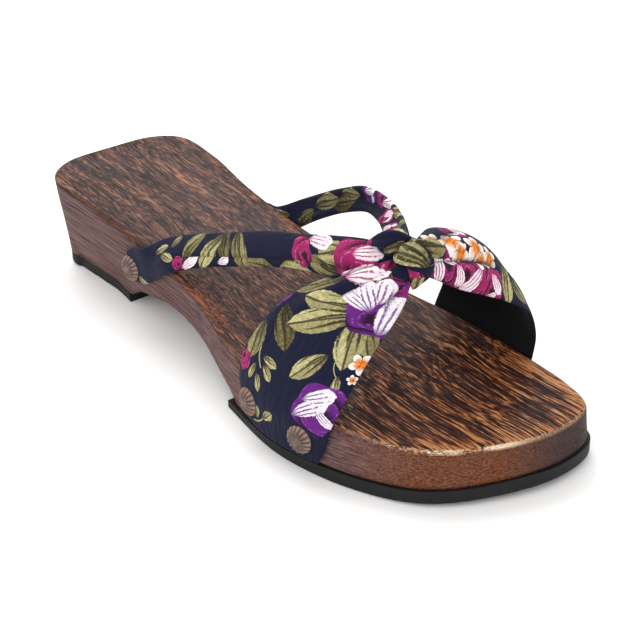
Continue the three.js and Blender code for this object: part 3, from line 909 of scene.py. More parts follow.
# %% [markdown]
# ## Printed cotton
#
# The print is navy with khaki leaves, purple and magenta roses and white blossoms. Each
# motif is drawn once, by nodes, in its own small square that runs from -1 to 1. The mesh
# tells every face corner where it lies in the nearest motif of each layer, so the flowers
# follow the cloth, bend with it and can be set out one by one in a table. The layers are
# painted from the back to the front: stems, two layers of leaves, roses, the white petals
# that lie over a rose, and blossoms.

# %% Stems and leaves
def spot(graph, layer):
    """The place inside the layer's nearest motif, and that motif's tint."""
    return graph.parts(graph.kept(layer, out=1))


def draw_stems(graph, ground):
    """A thin arched line."""
    x, y, tint = spot(graph, "stem")
    off = (y - (1 - x * x) * 0.22).math("ABSOLUTE")
    line = off.ease(0.075, 0.045) * x.math("ABSOLUTE").ease(1.0, 0.94)
    return graph.mix(line, ground, graph.mix(tint, "6b5f2c", "b9b47c"))


def draw_leaves(graph, ground, layer, brush):
    """A pointed leaf: khaki with a shaded half, brushed veins that slant, and a dark rib."""
    x, y, tint = spot(graph, layer)
    reach = x.math("ABSOLUTE")
    half = (1 - reach * reach * (0.6 + reach * 0.4)).most(-0.2)
    half = half * (0.45 + x.least(1.0).most(-1.0) * 0.06)
    inside = (half - y.math("ABSOLUTE") + (brush - 0.5) * 0.09).ease(0.0, 0.03)
    dark = graph.mix(brush.ease(0.38, 0.62), "2a220c", "6b5a26")
    light = graph.mix(brush.ease(0.35, 0.65), "a59c62", "cfc795")
    leaf = graph.mix(tint, dark, light)
    shaded = y.ease(0.06, -0.04) * 0.32
    shaded = shaded + (x + (brush - 0.5) * 1.6).ease(0.0, -0.95) * 0.55
    leaf = graph.mix(shaded, leaf, graph.mix(tint, "1c160a", "4a3d18"))
    across = y / (half + 0.12)
    vein = ((across * 1.9 + x * 0.45 + brush * 0.5).math("FRACT") - 0.5).math("ABSOLUTE")
    vein = (vein + (x + 0.2).most(0.0) * 0.16).ease(0.24, 0.11)
    vein = vein * (brush - x * 0.20).ease(0.37, 0.47)
    rib = (y + x * 0.03).math("ABSOLUTE").ease(0.05, 0.02)
    leaf = graph.mix((vein * 0.92).most(rib * 0.85), leaf, "231d0b")
    return graph.mix(inside, ground, leaf)


print("drawn so far:", draw_stems.__doc__, draw_leaves.__doc__)

# %% Roses, white petals and blossoms
def draw_roses(graph, ground, brush):
    """A round of dark folds about an eye that lies off the middle, with bristled light rims."""
    x, y, tint = spot(graph, "rose")
    r = (x * x + y * y).math("SQRT")
    rim = y.math("ARCTAN2", x)
    inside = ((rim * 5.0 + tint * 5.0).math("SINE") * 0.06 + 0.93 - r).ease(0.0, 0.03)
    u, v = x - 0.18, y + 0.28
    deep = (u * u + v * v * 1.2).math("SQRT")
    turn = v.math("ARCTAN2", u)
    wobble = (turn * 3.0 + tint * 9.0).math("SINE") * 0.08
    petals = (deep + wobble + (brush - 0.5) * 0.16) * 2.1
    ring = petals.math("FRACT")
    swing = (turn - petals.math("FLOOR") * 2.2 - 2.0 + (brush - 0.5) * 1.4).math("COSINE")
    dark = graph.mix(tint, "22072c", "37061f")
    mid = graph.mix(tint, "641e7a", "9c1c5e")
    light = graph.mix(tint, "9a5cae", "de76ae")
    rose = graph.mix(ring.ease(0.55, 0.05) * swing.ease(-0.8, 0.3), mid, dark)
    bristle = ((deep + u * 0.25) * 40.0 + brush * 8.0).math("SINE")
    bristle = bristle.ease(0.2, 0.8) * ring.ease(0.45, 0.8) * brush.ease(0.45, 0.6)
    rose = graph.mix(bristle * 0.8, rose, light)
    heart = (deep + (brush - 0.5) * 0.6).ease(0.34, 0.14)
    rose = graph.mix(heart, rose, "240822")
    return graph.mix(inside, ground, rose)


def draw_petals(graph, ground, brush):
    """A white petal with a torn edge, streaked from its root with the rose's own hue."""
    x, y, tint = spot(graph, "petal")
    reach = x.math("ABSOLUTE")
    half = (1 - reach * reach * reach).most(-1.2)
    half = half * (0.44 + x.least(1.0).most(-1.0) * 0.12)
    inside = (half - y.math("ABSOLUTE") + (brush - 0.5) * 0.34).ease(0.0, 0.04)
    across = y / (half + 0.15)
    streak = ((across * 2.6 + x * 0.3 + brush * 0.8).math("FRACT") - 0.5).math("ABSOLUTE")
    streak = streak.ease(0.25, 0.11) * (brush - x * 0.18).ease(0.39, 0.49)
    hue = graph.mix(tint, "5f1c78", "a1225f")
    pale = graph.mix(tint, "cdb4d8", "efb6d2")
    white = graph.mix(brush.ease(0.25, 0.55), pale, "f6eff3")
    petal = graph.mix(streak.most(x.ease(-0.45, -1.0)) * 0.9, white, hue)
    return graph.mix(inside, ground, petal)


def draw_blossoms(graph, ground, brush):
    """Five white petals that turn orange inwards, and an orange heart."""
    x, y, tint = spot(graph, "blossom")
    r = (x * x + y * y).math("SQRT")
    turn = y.math("ARCTAN2", x)
    lobe = (turn * 2.5).math("COSINE").math("ABSOLUTE")
    inside = (lobe * 0.42 + 0.54 - r).ease(0.0, 0.05)
    petal = graph.mix((r + (brush - 0.5) * 0.8).ease(0.30, 0.72), "dd8f4a", "f7f0ea")
    petal = graph.mix(lobe.ease(0.30, 0.1) * 0.8, petal, "5a3a2c")
    heart = graph.mix(brush.ease(0.42, 0.58), "c2560f", "f0902e")
    petal = graph.mix(r.ease(0.36, 0.26) * tint, petal, heart)
    return graph.mix(inside, ground, petal)


print("drawn too:", draw_roses.__doc__, draw_petals.__doc__, draw_blossoms.__doc__)

# %% Cotton finishes: the printed face and the plain lining
THREAD_PITCH = 0.42


def weave(a, b):
    """Height of a plain weave at the cloth places a and b."""
    warp = (a * (math.pi / THREAD_PITCH)).math("SINE")
    weft = (b * (math.pi / THREAD_PITCH)).math("SINE")
    return warp * weft * 0.5 + 0.5


def draw_print(graph):
    """Navy cotton, the layers of the print over it, painted shade in its creases and weave, and its
    bumps.
    """
    here = graph.kept("cloth", out=1)
    a, b, _ = graph.parts(here)
    brush = graph.noise(here * 0.75, detail=4.0, roughness=0.68)
    slub = graph.noise(here * (0.35, 2.6, 1.0), detail=2.0)
    colour = graph.mix(slub, "060716", "11163a")
    colour = draw_stems(graph, colour)
    colour = draw_leaves(graph, colour, "leaf_under", brush)
    colour = draw_leaves(graph, colour, "leaf", brush)
    colour = draw_roses(graph, colour, brush)
    colour = draw_petals(graph, colour, brush)
    colour = draw_blossoms(graph, colour, brush)
    crease = graph.kept("crease")
    # Painted shade: the troughs of the folds are drawn darker.
    colour = graph.mix(crease * 0.75, colour, "06070f")
    threads = weave(a, b)
    # Painted shade: the low places of the weave are drawn darker.
    colour = graph.mix((1 - threads) * 0.22, colour, "0c0d1c")
    crinkle = graph.noise(here * (0.10, 0.42, 1.0), detail=3.0, roughness=0.55)
    crinkled = graph.bump(crinkle, 0.6, 1.4)
    fine = graph.bump(threads, 0.35, 0.2, Normal=crinkled)
    return {"Base Color": colour, "Roughness": 0.78 + slub * 0.16, "Normal": fine}


def draw_lining(graph):
    """A nearly black, dull cloth."""
    fuzz = graph.noise(graph.here() * 1.6, detail=4.0, roughness=0.7)
    colour = graph.mix(fuzz, "030305", "08090e")
    return {
        "Base Color": colour,
        "Roughness": 0.86 + fuzz * 0.1,
        "Normal": graph.bump(fuzz, 0.3, 0.3),
    }


CLOTH_SHINE = {"Sheen Weight": 0.04, "Sheen Roughness": 0.5, "Specular IOR Level": 0.2}
printed_cotton = finish("printed_cotton", draw_print, **CLOTH_SHINE)
navy_lining = finish("navy_lining", draw_lining, **CLOTH_SHINE)

# %% [markdown]
# ## Setting out the print
#
# A motif is a place on a panel in millimetres (along it from the wood, across it from its
# middle line), a size, a turn in degrees and a tint. The charts below list them, one chart
# for each panel, because a scatter by chance would not show whole flowers. A face takes the
# motif that is nearest for its size, so motifs of one layer never overlap; a second layer
# of leaves lets some lie under others.

# %% How a motif is kept on the faces
Motif = namedtuple("Motif", "layer a b size turn tint", defaults=[1.0])
LAYERS = {"stem": 0.16, "leaf_under": 0.5, "leaf": 0.5, "rose": 1.0, "petal": 0.5, "blossom": 1.0}
FAR = 9.0


def inside_motif(a, b, motif):
    """Where the cloth places a and b lie in a motif's own square."""
    turn = math.radians(motif.turn)
    x = (a - motif.a) * math.cos(turn) + (b - motif.b) * math.sin(turn)
    y = (b - motif.b) * math.cos(turn) - (a - motif.a) * math.sin(turn)
    return x / motif.size, y / motif.size


def lay_print(piece, a, b, motifs):
    """Writes on each face corner its place in the nearest motif of every layer."""
    mesh = piece.data
    corners = np.empty(len(mesh.loops), int)
    mesh.loops.foreach_get("vertex_index", corners)
    sizes = np.empty(len(mesh.polygons), int)
    mesh.polygons.foreach_get("loop_total", sizes)
    starts = np.concatenate([[0], np.cumsum(sizes)[:-1]])
    ca, cb = a[corners], b[corners]
    face_a = np.add.reduceat(ca, starts) / sizes
    face_b = np.add.reduceat(cb, starts) / sizes
    for layer, slim in LAYERS.items():
        mine = [m for m in motifs if m.layer == layer]
        place_in = np.full((len(corners), 3), FAR)
        if mine:
            local = [inside_motif(face_a, face_b, m) for m in mine]
            reach = np.array([np.hypot(x, y / slim) for x, y in local])
            nearest = np.repeat(reach.argmin(axis=0), sizes)
            for k, motif in enumerate(mine):
                on = nearest == k
                x, y = inside_motif(ca[on], cb[on], motif)
                place_in[on] = np.column_stack([x, y, np.full(on.sum(), motif.tint)])
        note(piece, layer, place_in, "CORNER")
    note(piece, "cloth", np.column_stack([a, b, a * 0]))


print("layers of the print, from the back:", list(LAYERS))

# %% From a chart to its motifs
LIGHT, OLIVE, DARK = 0.95, 0.5, 0.15  # tints of a leaf
PURPLE, PLUM, MAGENTA = 0.0, 0.5, 1.0  # tints of a rose and of its petals
CHARTS = {}


def bloom(a, b, size, turn, tint):
    """A rose with two white petals: a long one across it and a short one in front."""
    u = size * math.cos(math.radians(turn))
    v = size * math.sin(math.radians(turn))
    front = (a + 0.38 * u + 0.42 * v, b + 0.38 * v - 0.42 * u)
    return [
        Motif("rose", a, b, size, turn, tint),
        Motif("petal", a - 0.25 * v, b + 0.25 * u, 0.72 * size, turn + 10, tint),
        Motif("petal", *front, 0.46 * size, turn + 75, tint),
    ]


def motifs_of(name):
    """All motifs of a chart; its rows are a, b, size, turn and tint."""
    motifs = []
    for kind, rows in CHARTS[name].items():
        for row in rows:
            motifs += bloom(*row) if kind == "bloom" else [Motif(kind, *row)]
    return motifs


print("a bloom:", [motif.layer for motif in bloom(0, 0, 5, 0, PURPLE)])

# %% Chart of the lateral band
CHARTS["lateral_band"] = {
    "stem": [(26.5, -13.3, 4, 151, 0.8), (5.5, -10.3, 4, 60, 0.8), (36.8, 14, 2.8, 142, 0.8)],
    "leaf_under": [
        (51, 15, 8, 140, OLIVE), (41, -11, 9.5, 145, DARK), (60, -14, 9, -130, OLIVE),
        (70, 3.5, 7, 150, LIGHT),
    ],
    "leaf": [
        (56.5, -2, 11, -102, LIGHT), (49.5, -1.5, 12, -126, LIGHT), (47, 12, 10.5, 159, LIGHT),
        (31.5, -19, 8.5, 178, OLIVE), (33.2, 5, 8, -149, LIGHT), (26.8, -8.9, 3.8, 99, LIGHT),
        (20.6, -15.2, 3, -165, LIGHT), (22.9, -8.1, 3.4, 125, LIGHT), (18.4, -10.8, 3.2, 150, LIGHT),
        (8, -10.5, 3, 20, LIGHT), (9.2, -4.3, 4, 53, LIGHT), (32.3, 17.1, 3.4, 160, LIGHT),
    ],
    "rose": [
        (61.5, 11.3, 11.5, 250, PURPLE), (73, 7, 6, 0, PLUM), (21.5, 17.0, 11, 150, PURPLE),
        (22, -20.5, 3.5, 0, MAGENTA), (50, -22, 5, 60, PURPLE), (74, -8, 8.5, 100, MAGENTA),
    ],
    "petal": [
        (62.5, 13.5, 10, -20, PURPLE), (20.8, 13.6, 7.6, 44, PURPLE), (26.0, 14.5, 6.4, 56, PURPLE),
        (19.5, 20.5, 5.5, 125, PURPLE), (61.3, 1.5, 6, -75, PURPLE), (65, 2.5, 7, -48, PURPLE),
        (69, 4.5, 6, -24, 0.3), (71.5, -9.5, 6.5, 18, MAGENTA), (71, -3.6, 6.5, 38, MAGENTA),
    ],
    "blossom": [(42.3, 19.8, 4.2, 10), (36.4, 20.6, 2.0, 40)],
}
print("lateral band motifs:", len(motifs_of("lateral_band")))

# %% Chart of the medial band
CHARTS["medial_band"] = {
    "stem": [(44, -12, 5, 120, 0.5)],
    "leaf_under": [(62, -9, 9, 150, OLIVE), (46, 1, 10, 60, LIGHT), (24, -2, 8, 200, LIGHT)],
    "leaf": [
        (53, 14.5, 7.5, 100, LIGHT), (45, 16, 6, 140, OLIVE), (33, 19, 5.5, 160, LIGHT),
        (30, -10, 9, 30, OLIVE), (10, 4, 6, 80, LIGHT), (7, 15, 5, 150, DARK),
    ],
    "blossom": [
        (85, -5, 4.5, 10), (79, -2, 5.5, 50), (77.5, 2.4, 4, 80), (69.5, 1.8, 5.5, 30), (67.5, 6, 4.5, 0),
        (62, 5.5, 5, 60), (20, 13, 5.5, 0), (40, -17, 4.5, 30),
    ],
    "bloom": [
        (74.5, 11.5, 8.5, 30, MAGENTA), (62, 15.5, 6.5, 120, MAGENTA), (86, 6, 7.5, 250, 0.8),
        (71, -8.5, 6, 90, 0.8), (36, 6, 9, 0, PURPLE), (16, -12, 8, 50, MAGENTA),
    ],
}
print("medial band motifs:", len(motifs_of("medial_band")))

# %% Charts of the two back straps
CHARTS["lateral_strap"] = {
    "leaf_under": [(41, 1.5, 6.5, 62, OLIVE), (56.5, 1.5, 6.5, -75, DARK), (106, -3.5, 8, 170, OLIVE)],
    "leaf": [
        (27, 2.5, 3.4, 10, LIGHT), (30, -1.5, 3.6, -30, LIGHT), (33.5, 4, 3, 60, OLIVE),
        (9, -6.5, 3.6, -50, LIGHT), (50.3, -1.0, 7.5, -118, LIGHT), (64, -0.5, 7.8, -70, OLIVE),
        (113, 1.8, 8.5, -169, LIGHT), (73, -7.6, 9, 178, OLIVE), (90, -7.0, 9, 3, LIGHT),
    ],
    "rose": [(35.5, -4.5, 2.8, 0, MAGENTA), (96, 0.3, 5.6, 20, MAGENTA), (121.5, -1.5, 10, 20, MAGENTA)],
    "petal": [
        (41.5, -5.3, 4.2, 20, MAGENTA), (57, -5.0, 2.6, 10, MAGENTA), (105.5, 4.6, 6.2, 0, MAGENTA),
        (124, -4.6, 8, 14, MAGENTA), (127.5, 2.5, 6, 5, MAGENTA),
    ],
}
CHARTS["medial_strap"] = {
    "leaf_under": [(58, -1, 8, 8, DARK), (30, -3, 6.5, 20, DARK)],
    "leaf": [
        (46, 1, 8.5, 4, OLIVE), (63, 2.5, 6, -10, OLIVE), (100, 5, 6, 20, LIGHT), (112, 3, 6, 60, OLIVE),
        (18, 2.5, 5, 160, LIGHT),
    ],
    "rose": [(84, 3.5, 3.5, 90, 0.6)],
    "petal": [(89, 3.5, 4.5, 20, MAGENTA)],
    "blossom": [(120, -1, 5, 10)],
    "bloom": [
        (76, 3, 4.5, 0, PURPLE), (94, -0.5, 5.5, 30, MAGENTA), (106, -2.5, 5, 140, MAGENTA),
        (10, -2, 4.5, 40, PURPLE),
    ],
}
print("strap motifs:", len(motifs_of("lateral_strap")) + len(motifs_of("medial_strap")))

# %% Charts of the knot's wraps
CHARTS["knot_front"] = {"leaf": [(7.5, 0, 12.5, 172, 1.0)]}
CHARTS["knot_loop"] = {"rose": [(2, 0, 1.6, 0, MAGENTA)]}
CHARTS["knot_fold"] = {"leaf": [(6, 0, 9, 0, 0.35)]}
CHARTS["knot_right"] = {"leaf": [(5, 0.5, 9.5, 10, 0.6)]}
CHARTS["knot_low"] = {"leaf": [(5.5, 0, 7, 0, 0.75)]}
CHARTS["knot_gap"] = {}
CHARTS["knot_heart"] = {
    "leaf_under": [(32, 5, 6, 140, DARK)],
    "leaf": [(6, -2, 6, 30, OLIVE), (19, 3, 6, 200, LIGHT), (38, 2, 6, 90, OLIVE)],
    "rose": [(27, -2, 5, 0, PURPLE), (45, -4, 4.5, 0, MAGENTA)],
    "blossom": [(12, 4, 3.5, 0)],
}
print("knot motifs:", sum(len(motifs_of(name)) for name in CHARTS if name.startswith("knot")))

# %% [markdown]
# ## The straps
#
# Each strap is one sheet that rises from its tacks and gathers at the knot. Its outer face
# wears the print; the front bands have the plain lining on their inner face, and the back
# straps are printed on both faces. The folds run towards the knot, because that is where
# the cloth is pulled.

# %% Folds of the straps
FOLDS = {
    "lateral_band": [
        Fold(86, 1, 48, -12, 3.0, 1.3), Fold(86, 0, 60, -4, 1.4, -1.7), Fold(86, 1, 50, 6, 3.0, 1.2),
        Fold(86, 2, 64, 9, 1.3, -1.6), Fold(86, -2, 60, -14, 1.4, -1.5), Fold(30, -16, 52, -18, 3.0, 0.5),
        Fold(60, 16, 42, 20, 2.2, 0.5),
    ],
    "medial_band": [
        Fold(91, 2, 60, 8.5, 1.6, -2.0), Fold(92, 7, 74, 15, 1.3, -0.9), Fold(92, 0, 76, -3, 1.2, -0.8),
        Fold(92, 5, 62, 14, 3.4, 1.1), Fold(92, -1, 64, 2, 4.0, 1.0), Fold(91, -3, 70, -8, 2.2, -1.0),
        Fold(56, 10, 30, 14, 3.6, 0.7),
    ],
    "lateral_strap": [
        Fold(40, -3.0, 74, -3.5, 0.6, -1.2), Fold(70, -3.5, 108, -2.6, 0.6, -1.2),
        Fold(22, -2, 44, 2, 2.2, 0.4), Fold(44, 5, 62, 0, 1.6, -0.4), Fold(96, 4, 132, -1, 2.4, 0.7),
        Fold(104, -3, 134, -2, 1.8, -0.6),
    ],
    "medial_strap": [
        Fold(8, -3.6, 120, -3.4, 1.0, -0.4), Fold(66, 2, 90, -2, 2.0, 0.5), Fold(80, 3, 124, 1, 1.6, 0.5),
    ],
    "knot_front": [
        Fold(4, -2.6, 12, -2.8, 0.8, -0.4), Fold(3, -0.6, 13, -1, 0.8, 0.35),
        Fold(3, 1.2, 12, 0.6, 0.7, -0.35),
    ],
    "knot_loop": [Fold(3, 0.2, 13, 0.4, 0.8, -0.5)],
    "knot_right": [Fold(2, -0.8, 10, -1, 0.8, -0.4), Fold(2, 1, 10, 1.2, 0.8, 0.35)],
}
print("folds:", sum(len(folds) for folds in FOLDS.values()))

# %% Strap meshes
def cloth_piece(strap, span, thick, node, materials):
    """A printed piece made from the rows of a strap or a wrap; a band has a plain lining."""
    grid, out, a, b, v, crease = strap_grid(strap, FOLDS.get(strap.name, []), span)
    points, faces, is_outer = pillow(grid, out, v, thick)
    print(strap.name, "cloth, mm:", round(float(a.max()), 1), "by", round(float(np.ptp(b)), 1))
    piece = piece_from(strap.name, points, faces, [node], materials)
    lined = strap.name.endswith("band")
    piece.data.polygons.foreach_set("material_index", [int(lined and not o) for o in is_outer])
    lay_print(piece, doubled(a), doubled(b), motifs_of(strap.name))
    # crease keeps how deep a point lies in a fold's trough, for the painted shade of the print.
    note(piece, "crease", doubled(crease))
    return piece


for strap in STRAPS:
    piece = cloth_piece(strap, CLOTH_SPAN, CLOTH, "upper", [printed_cotton, navy_lining])

# %% [markdown]
# ## The knot
#
# The straps end under a knot of the same cotton. It is not tied through: short folded
# lengths are wrapped over each other and sewn behind. Each wrap is made as the straps are,
# from a few rows that go round the gathered cloth, so it shows its folded edges. Inside
# them lies the heart, a creased lump that closes the gaps between the wraps.

# %% Wraps of the knot, from the front to the sides
KNOT_CLOTH = 1.6
KNOT_SPAN = (70, 30)
WRAPS = [
    Strap("knot_front", -1, 1, [
        ((-3, 186.3, 66.8), (-1.8, 185.2, 69.8), 0), ((-5.3, 190.4, 68), (-2.9, 188.7, 73.1), 0.6),
        ((-5.3, 194.4, 69), (-2, 192.2, 75.6), 1.2), ((-3.3, 196.8, 69), (0.1, 195, 75.4), 1.2),
        ((-0.2, 197.3, 68), (2.5, 196.5, 72.2), 0.8), ((4.1, 194.9, 66.2), (5.4, 194.5, 68.2), 0),
    ]),
    Strap("knot_loop", -1, 1, [
        ((-7.7, 177.7, 70.7), (-6.9, 177.7, 71.6), 0), ((-7.8, 181.4, 71.8), (-6.4, 180.4, 74.7), 0.6),
        ((-6.7, 184.9, 72.3), (-4.4, 183.3, 77.2), 1), ((-3.5, 187, 73.3), (-1.6, 185.9, 77.2), 0.9),
        ((-0.4, 188.1, 73.6), (0.6, 187.5, 75.6), 0.5), ((4, 187, 72.2), (4.1, 186.6, 72.8), 0),
    ]),
    Strap("knot_fold", -1, 1, [
        ((-5.7, 184.6, 70.1), (-5.6, 183.9, 71.2), 0), ((-6.1, 187.7, 71.5), (-5.4, 186.9, 73.5), 0.5),
        ((-4.2, 189, 73), (-3.8, 188.3, 74.6), 0.5), ((-0.6, 188.4, 73), (-0.6, 187.8, 74), 0),
    ]),
    Strap("knot_right", 1, 1, [
        ((1.5, 190.6, 71.7), (1.9, 189.9, 73.6), 0), ((2.4, 194.8, 71.6), (3, 192.9, 75.5), 0.8),
        ((4.4, 197.8, 70), (6, 195.9, 75.1), 0.8), ((8.3, 197.6, 68.4), (9.6, 196.6, 72), 0),
    ]),
    Strap("knot_low", -1, 1, [
        ((1.8, 193.4, 65.8), (3.6, 195.2, 65.6), 0), ((-1.8, 194.3, 64), (1.5, 196.7, 64.8), 0.7),
        ((-3.2, 194.6, 62), (-0.2, 196.7, 62.7), 0.6), ((-2.6, 194.2, 59.4), (-1.3, 194.8, 60), 0),
    ]),
    Strap("knot_gap", -1, 1, [
        ((-3.4, 188.3, 66.4), (2.7, 194.2, 66), 0), ((-4.3, 190.5, 64.1), (0.4, 195.1, 63.6), 0.3),
        ((-3.1, 191.6, 62), (-0.9, 194.3, 61.1), 0),
    ]),
]
print("wraps:", [wrap.name for wrap in WRAPS])

# %% The gathered heart of the knot
Lump = namedtuple("Lump", "at half")
LUMPS = [Lump((1.5, 190.2, 66.4), (6.0, 8.6, 8.6)), Lump((-0.6, 182.5, 71.3), (6.4, 5.6, 4.6))]
HEART_AT = np.array([0.8, 187.5, 68.0])
HEART_ROWS, HEART_ROUND = 80, 144
CREASE_WAVE, CREASE_COUNT = 0.45, 7
HEART_PRINT = 8  # mm of cloth to a radian round the heart, and to its half width


def heart_mesh():
    """A lump with creases that run round it, as cloth that is pulled tight has."""
    from_pole = np.linspace(0, math.pi, HEART_ROWS)
    around = np.linspace(0, 2 * math.pi, HEART_ROUND, endpoint=False)
    lat, lon = np.meshgrid(from_pole, around, indexing="ij")
    way = np.stack([-np.cos(lat), np.sin(lat) * np.cos(lon), np.sin(lat) * np.sin(lon)], axis=-1)
    reach = np.zeros(lat.shape)
    for lump in LUMPS:
        half = np.array(lump.half)
        to, aim = (HEART_AT - np.array(lump.at)) / half, way / half
        square, cross, rest = (aim**2).sum(-1), (aim * to).sum(-1), (to**2).sum() - 1
        root = np.sqrt(np.maximum(cross**2 - square * rest, 0))
        reach = np.maximum(reach, (root - cross) / square)
    crease = np.sin(CREASE_COUNT * lat + 1.5 * np.sin(lon)) * np.sin(lat) ** 2
    points = HEART_AT + way * (reach - CREASE_WAVE + CREASE_WAVE * crease)[..., None]
    body = slice(HEART_ROUND - 1, 1 - HEART_ROUND)
    last = 1 + (HEART_ROWS - 2) * HEART_ROUND
    faces = [[k + 1 for k in face] for face in row_faces(HEART_ROWS - 2, HEART_ROUND, closed=True)]
    for k in range(HEART_ROUND):
        ahead = (k + 1) % HEART_ROUND
        faces.append([0, 1 + ahead, 1 + k])
        faces.append([last, last - HEART_ROUND + k, last - HEART_ROUND + ahead])
    a = (lon * HEART_PRINT).reshape(-1)[body]
    b = (-np.cos(lat) * HEART_PRINT).reshape(-1)[body]
    return points.reshape(-1, 3)[body], faces, a, b


points, faces, a, b = heart_mesh()
heart = piece_from("knot_heart", points, faces, ["knot"], [printed_cotton])
lay_print(heart, a, b, motifs_of("knot_heart"))

# %% Knot mesh
for wrap in WRAPS:
    piece = cloth_piece(wrap, KNOT_SPAN, KNOT_CLOTH, "knot", [printed_cotton])

# %% [markdown]
# ## The tacks
#
# Six domed wooden heads hold the straps. Each is turned on a lathe and then fluted, so it is
# made the same way: a profile turned round an axis, with a wave cut into it that is deepest
# near the rim. The wave is kept as `groove`, and the finish paints shade there and a
# highlight on the rim.

# %% Tack finish
def draw_tack(graph):
    """Brown wood, with painted shade in the flutes and a painted highlight on the rim between them."""
    groove = graph.kept("groove")
    rim = graph.kept("rim")
    grain = graph.noise(graph.here() * (1.4, 1.4, 0.5), detail=3.0, roughness=0.6)
    colour = graph.mix(grain.ease(0.3, 0.7), "46322c", "75584a")
    # Painted shade: the flutes are drawn nearly black.
    colour = graph.mix(groove * 0.95, colour, "190f0b")
    # Painted highlight: the rim between the flutes is drawn pale.
    colour = graph.mix(rim * (1 - groove) * 0.55, colour, "a5846f")
    return {
        "Base Color": colour,
        "Roughness": 0.42 + grain * 0.25,
        "Normal": graph.bump(grain, 0.3, 0.2),
    }


tack_head = finish("tack_head", draw_tack, **{"Coat Weight": 0.25, "Coat Roughness": 0.3})

# %% Profile of a tack
HEAD_R, HEAD_H, HEAD_RIM = 5.2, 2.3, 0.5
SHANK_R, SHANK = 0.9, 9
CROWN_FALL = 0.78  # share of the head's height that its crown falls towards the rim


def tack_profile():
    """Radius, height over the cloth and depth of the flutes, from the tip to the crown."""
    rows = [(0.05, -SHANK, 0), (SHANK_R, SHANK_R - SHANK, 0), (SHANK_R, -0.1, 0), (HEAD_R * 0.9, 0, 0)]
    rows += [(HEAD_R, 0.12, 0.5), (HEAD_R, HEAD_RIM, 0.8)]
    for share in np.linspace(0.97, 0.03, 16):
        height = HEAD_H * (1 - CROWN_FALL * share**5)
        rows.append((HEAD_R * share, height, float(smooth(0.12, 0.6, share))))
    return np.array(rows)


print("rings of a tack:", len(tack_profile()))

# %% Tack meshes
FLUTES, FLUTE_DEPTH, RIM_DEPTH = 16, 0.5, 0.18
TACK_ROUND = 144
Tack = namedtuple("Tack", "name side s z")
TACKS = [
    Tack("front_lateral_front", -1, 186, 13.3), Tack("front_lateral_rear", -1, 159.5, 15),
    Tack("front_medial_front", 1, 199, 12.5), Tack("front_medial_rear", 1, 167, 13),
    Tack("back_lateral", -1, 66.5, 24.5), Tack("back_medial", 1, 66.5, 24.5),
]


def tack_mesh(tack):
    """Points of a fluted tack in the wood's side, its faces, and its marks."""
    at, out = on_wall(tack.side, tack.s, tack.z, GAP + EASE + CLOTH)
    turn = np.linspace(0, 2 * math.pi, TACK_ROUND, endpoint=False)
    wave = 0.5 - 0.5 * np.cos(FLUTES * turn)
    up = np.array([0, 0, 1.0])
    across = np.cross(up, out)
    points, groove, rim = [], [], []
    for radius, height, depth in tack_profile():
        r = radius - RIM_DEPTH * depth * wave * (radius > HEAD_R * 0.8)
        h = height - FLUTE_DEPTH * depth * wave * (height > HEAD_RIM)
        ring = at + across * (r * np.cos(turn))[:, None] + up * (r * np.sin(turn))[:, None]
        points.append(ring + out * (np.ones(TACK_ROUND) * h)[:, None])
        # groove marks the flutes for painted shade, and rim marks the rim for a painted highlight.
        groove.append(wave**2 * depth)
        near_rim = float(smooth(0.6, 0.95, radius / HEAD_R)) if height > 0 else 0.0
        rim.append(np.full(TACK_ROUND, near_rim))
    rows = len(points)
    faces = row_faces(rows, TACK_ROUND, closed=True)
    faces += [list(range(TACK_ROUND))[::-1], [(rows - 1) * TACK_ROUND + k for k in range(TACK_ROUND)]]
    return np.concatenate(points), faces, np.concatenate(groove), np.concatenate(rim)


for tack in TACKS:
    points, faces, groove, rim = tack_mesh(tack)
    name = "tack_" + tack.name
    piece = piece_from(name + "_head", points, faces, [name], [tack_head])
    note(piece, "groove", groove)
    note(piece, "rim", rim)

# %% [markdown]
# ## Floor, light and camera
#
# A white floor and a white sky give the even light of a small product studio. One large
# soft light from above and behind draws the sheen along the lacquered wood, and a weaker
# one from the camera's left opens the shadow under the arch.

# %% Floor
PAPER_TOOTH = 0.04  # lumps to a millimetre
FLOOR_HALF = 3.0


def draw_floor(graph):
    """Nearly white paper with a very faint tooth."""
    paper = graph.noise(graph.here() * PAPER_TOOTH)
    return {
        "Base Color": graph.mix(paper, "f4f3f2", "fbfaf9"),
        "Roughness": 0.86 + paper * 0.05,
    }


white_paper = finish("white_paper", draw_floor, **{"Specular IOR Level": 0.15})
floor_mesh = bpy.data.meshes.new("studio_floor")
corners = FLOOR_HALF * np.array([(-1, -1, 0), (1, -1, 0), (1, 1, 0), (-1, 1, 0)])
floor_mesh.from_pydata(corners.tolist(), [], [(0, 1, 2, 3)])
floor_mesh.materials.append(white_paper)
studio_floor = bpy.data.objects.new("studio_floor", floor_mesh)
bpy.context.scene.collection.objects.link(studio_floor)
print("floor half width, m:", FLOOR_HALF)

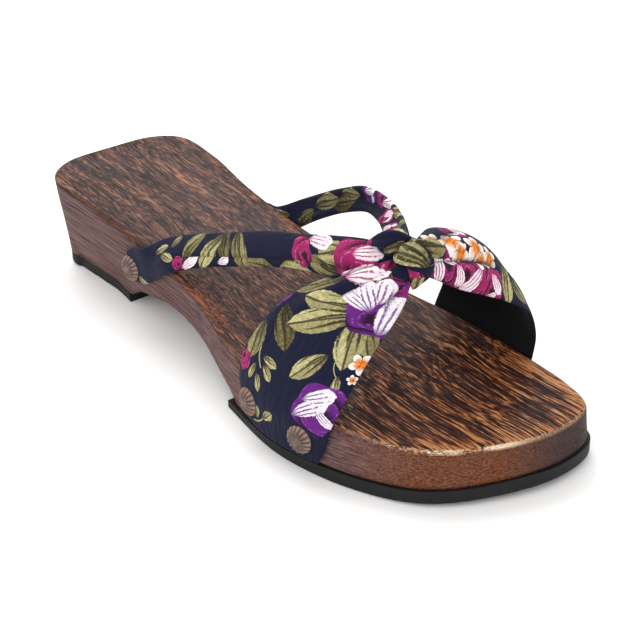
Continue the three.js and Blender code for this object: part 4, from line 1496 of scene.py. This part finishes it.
# %% Lights
LIGHT_SIDE = 0.9
SHOE_MIDDLE = (0, 0, 0.03)


def soft_light(name, at, power):
    """A square soft light at a place in metres, turned to the sandal; its power is in watts."""
    light = bpy.data.lights.new(name, "AREA")
    light.size = LIGHT_SIDE
    light.energy = power
    lamp = bpy.data.objects.new(name, light)
    lamp.location = at
    lamp.rotation_euler = (Vector(SHOE_MIDDLE) - Vector(at)).to_track_quat("-Z", "Y").to_euler()
    bpy.context.scene.collection.objects.link(lamp)
    return lamp


soft_light("key_light", (0.25, 0.75, 1.1), 9)
soft_light("fill_light", (-1.1, -0.5, 0.8), 4)
print("lights:", [o.name for o in bpy.data.objects if o.type == "LIGHT"])

# %% Sky
SKY_STRENGTH = 1.1
sky = bpy.data.worlds.new("studio_sky")
sky.use_nodes = True
sky_graph = Graph(sky.node_tree)
sky.node_tree.nodes.clear()
sky_light = sky_graph.node("Background", {"Color": (1, 1, 1, 1), "Strength": SKY_STRENGTH})
sky_graph.node("OutputWorld", {"Surface": sky_light})
bpy.context.scene.world = sky
bpy.context.scene.view_settings.view_transform = "Standard"
print("sky strength:", SKY_STRENGTH)

# %% Camera
CAMERA_AT = (-0.3207, -0.4239, 0.3236)
CAMERA_TURN, CAMERA_DOWN, CAMERA_ROLL = -38.24, 30.22, -0.61  # degrees
LENS = 92
camera_data = bpy.data.cameras.new("camera")
camera_data.lens = LENS
camera = bpy.data.objects.new("camera", camera_data)
turned = Matrix.Rotation(math.radians(CAMERA_TURN), 4, "Z")
tipped = Matrix.Rotation(math.radians(90 - CAMERA_DOWN), 4, "X")
rolled = Matrix.Rotation(math.radians(CAMERA_ROLL), 4, "Z")
camera.matrix_world = Matrix.Translation(CAMERA_AT) @ turned @ tipped @ rolled
bpy.context.scene.collection.objects.link(camera)
bpy.context.scene.camera = camera
print("camera at, m:", CAMERA_AT, "lens, mm:", LENS)

# %% [markdown]
# The looks may not make the sandal bigger than its construction.
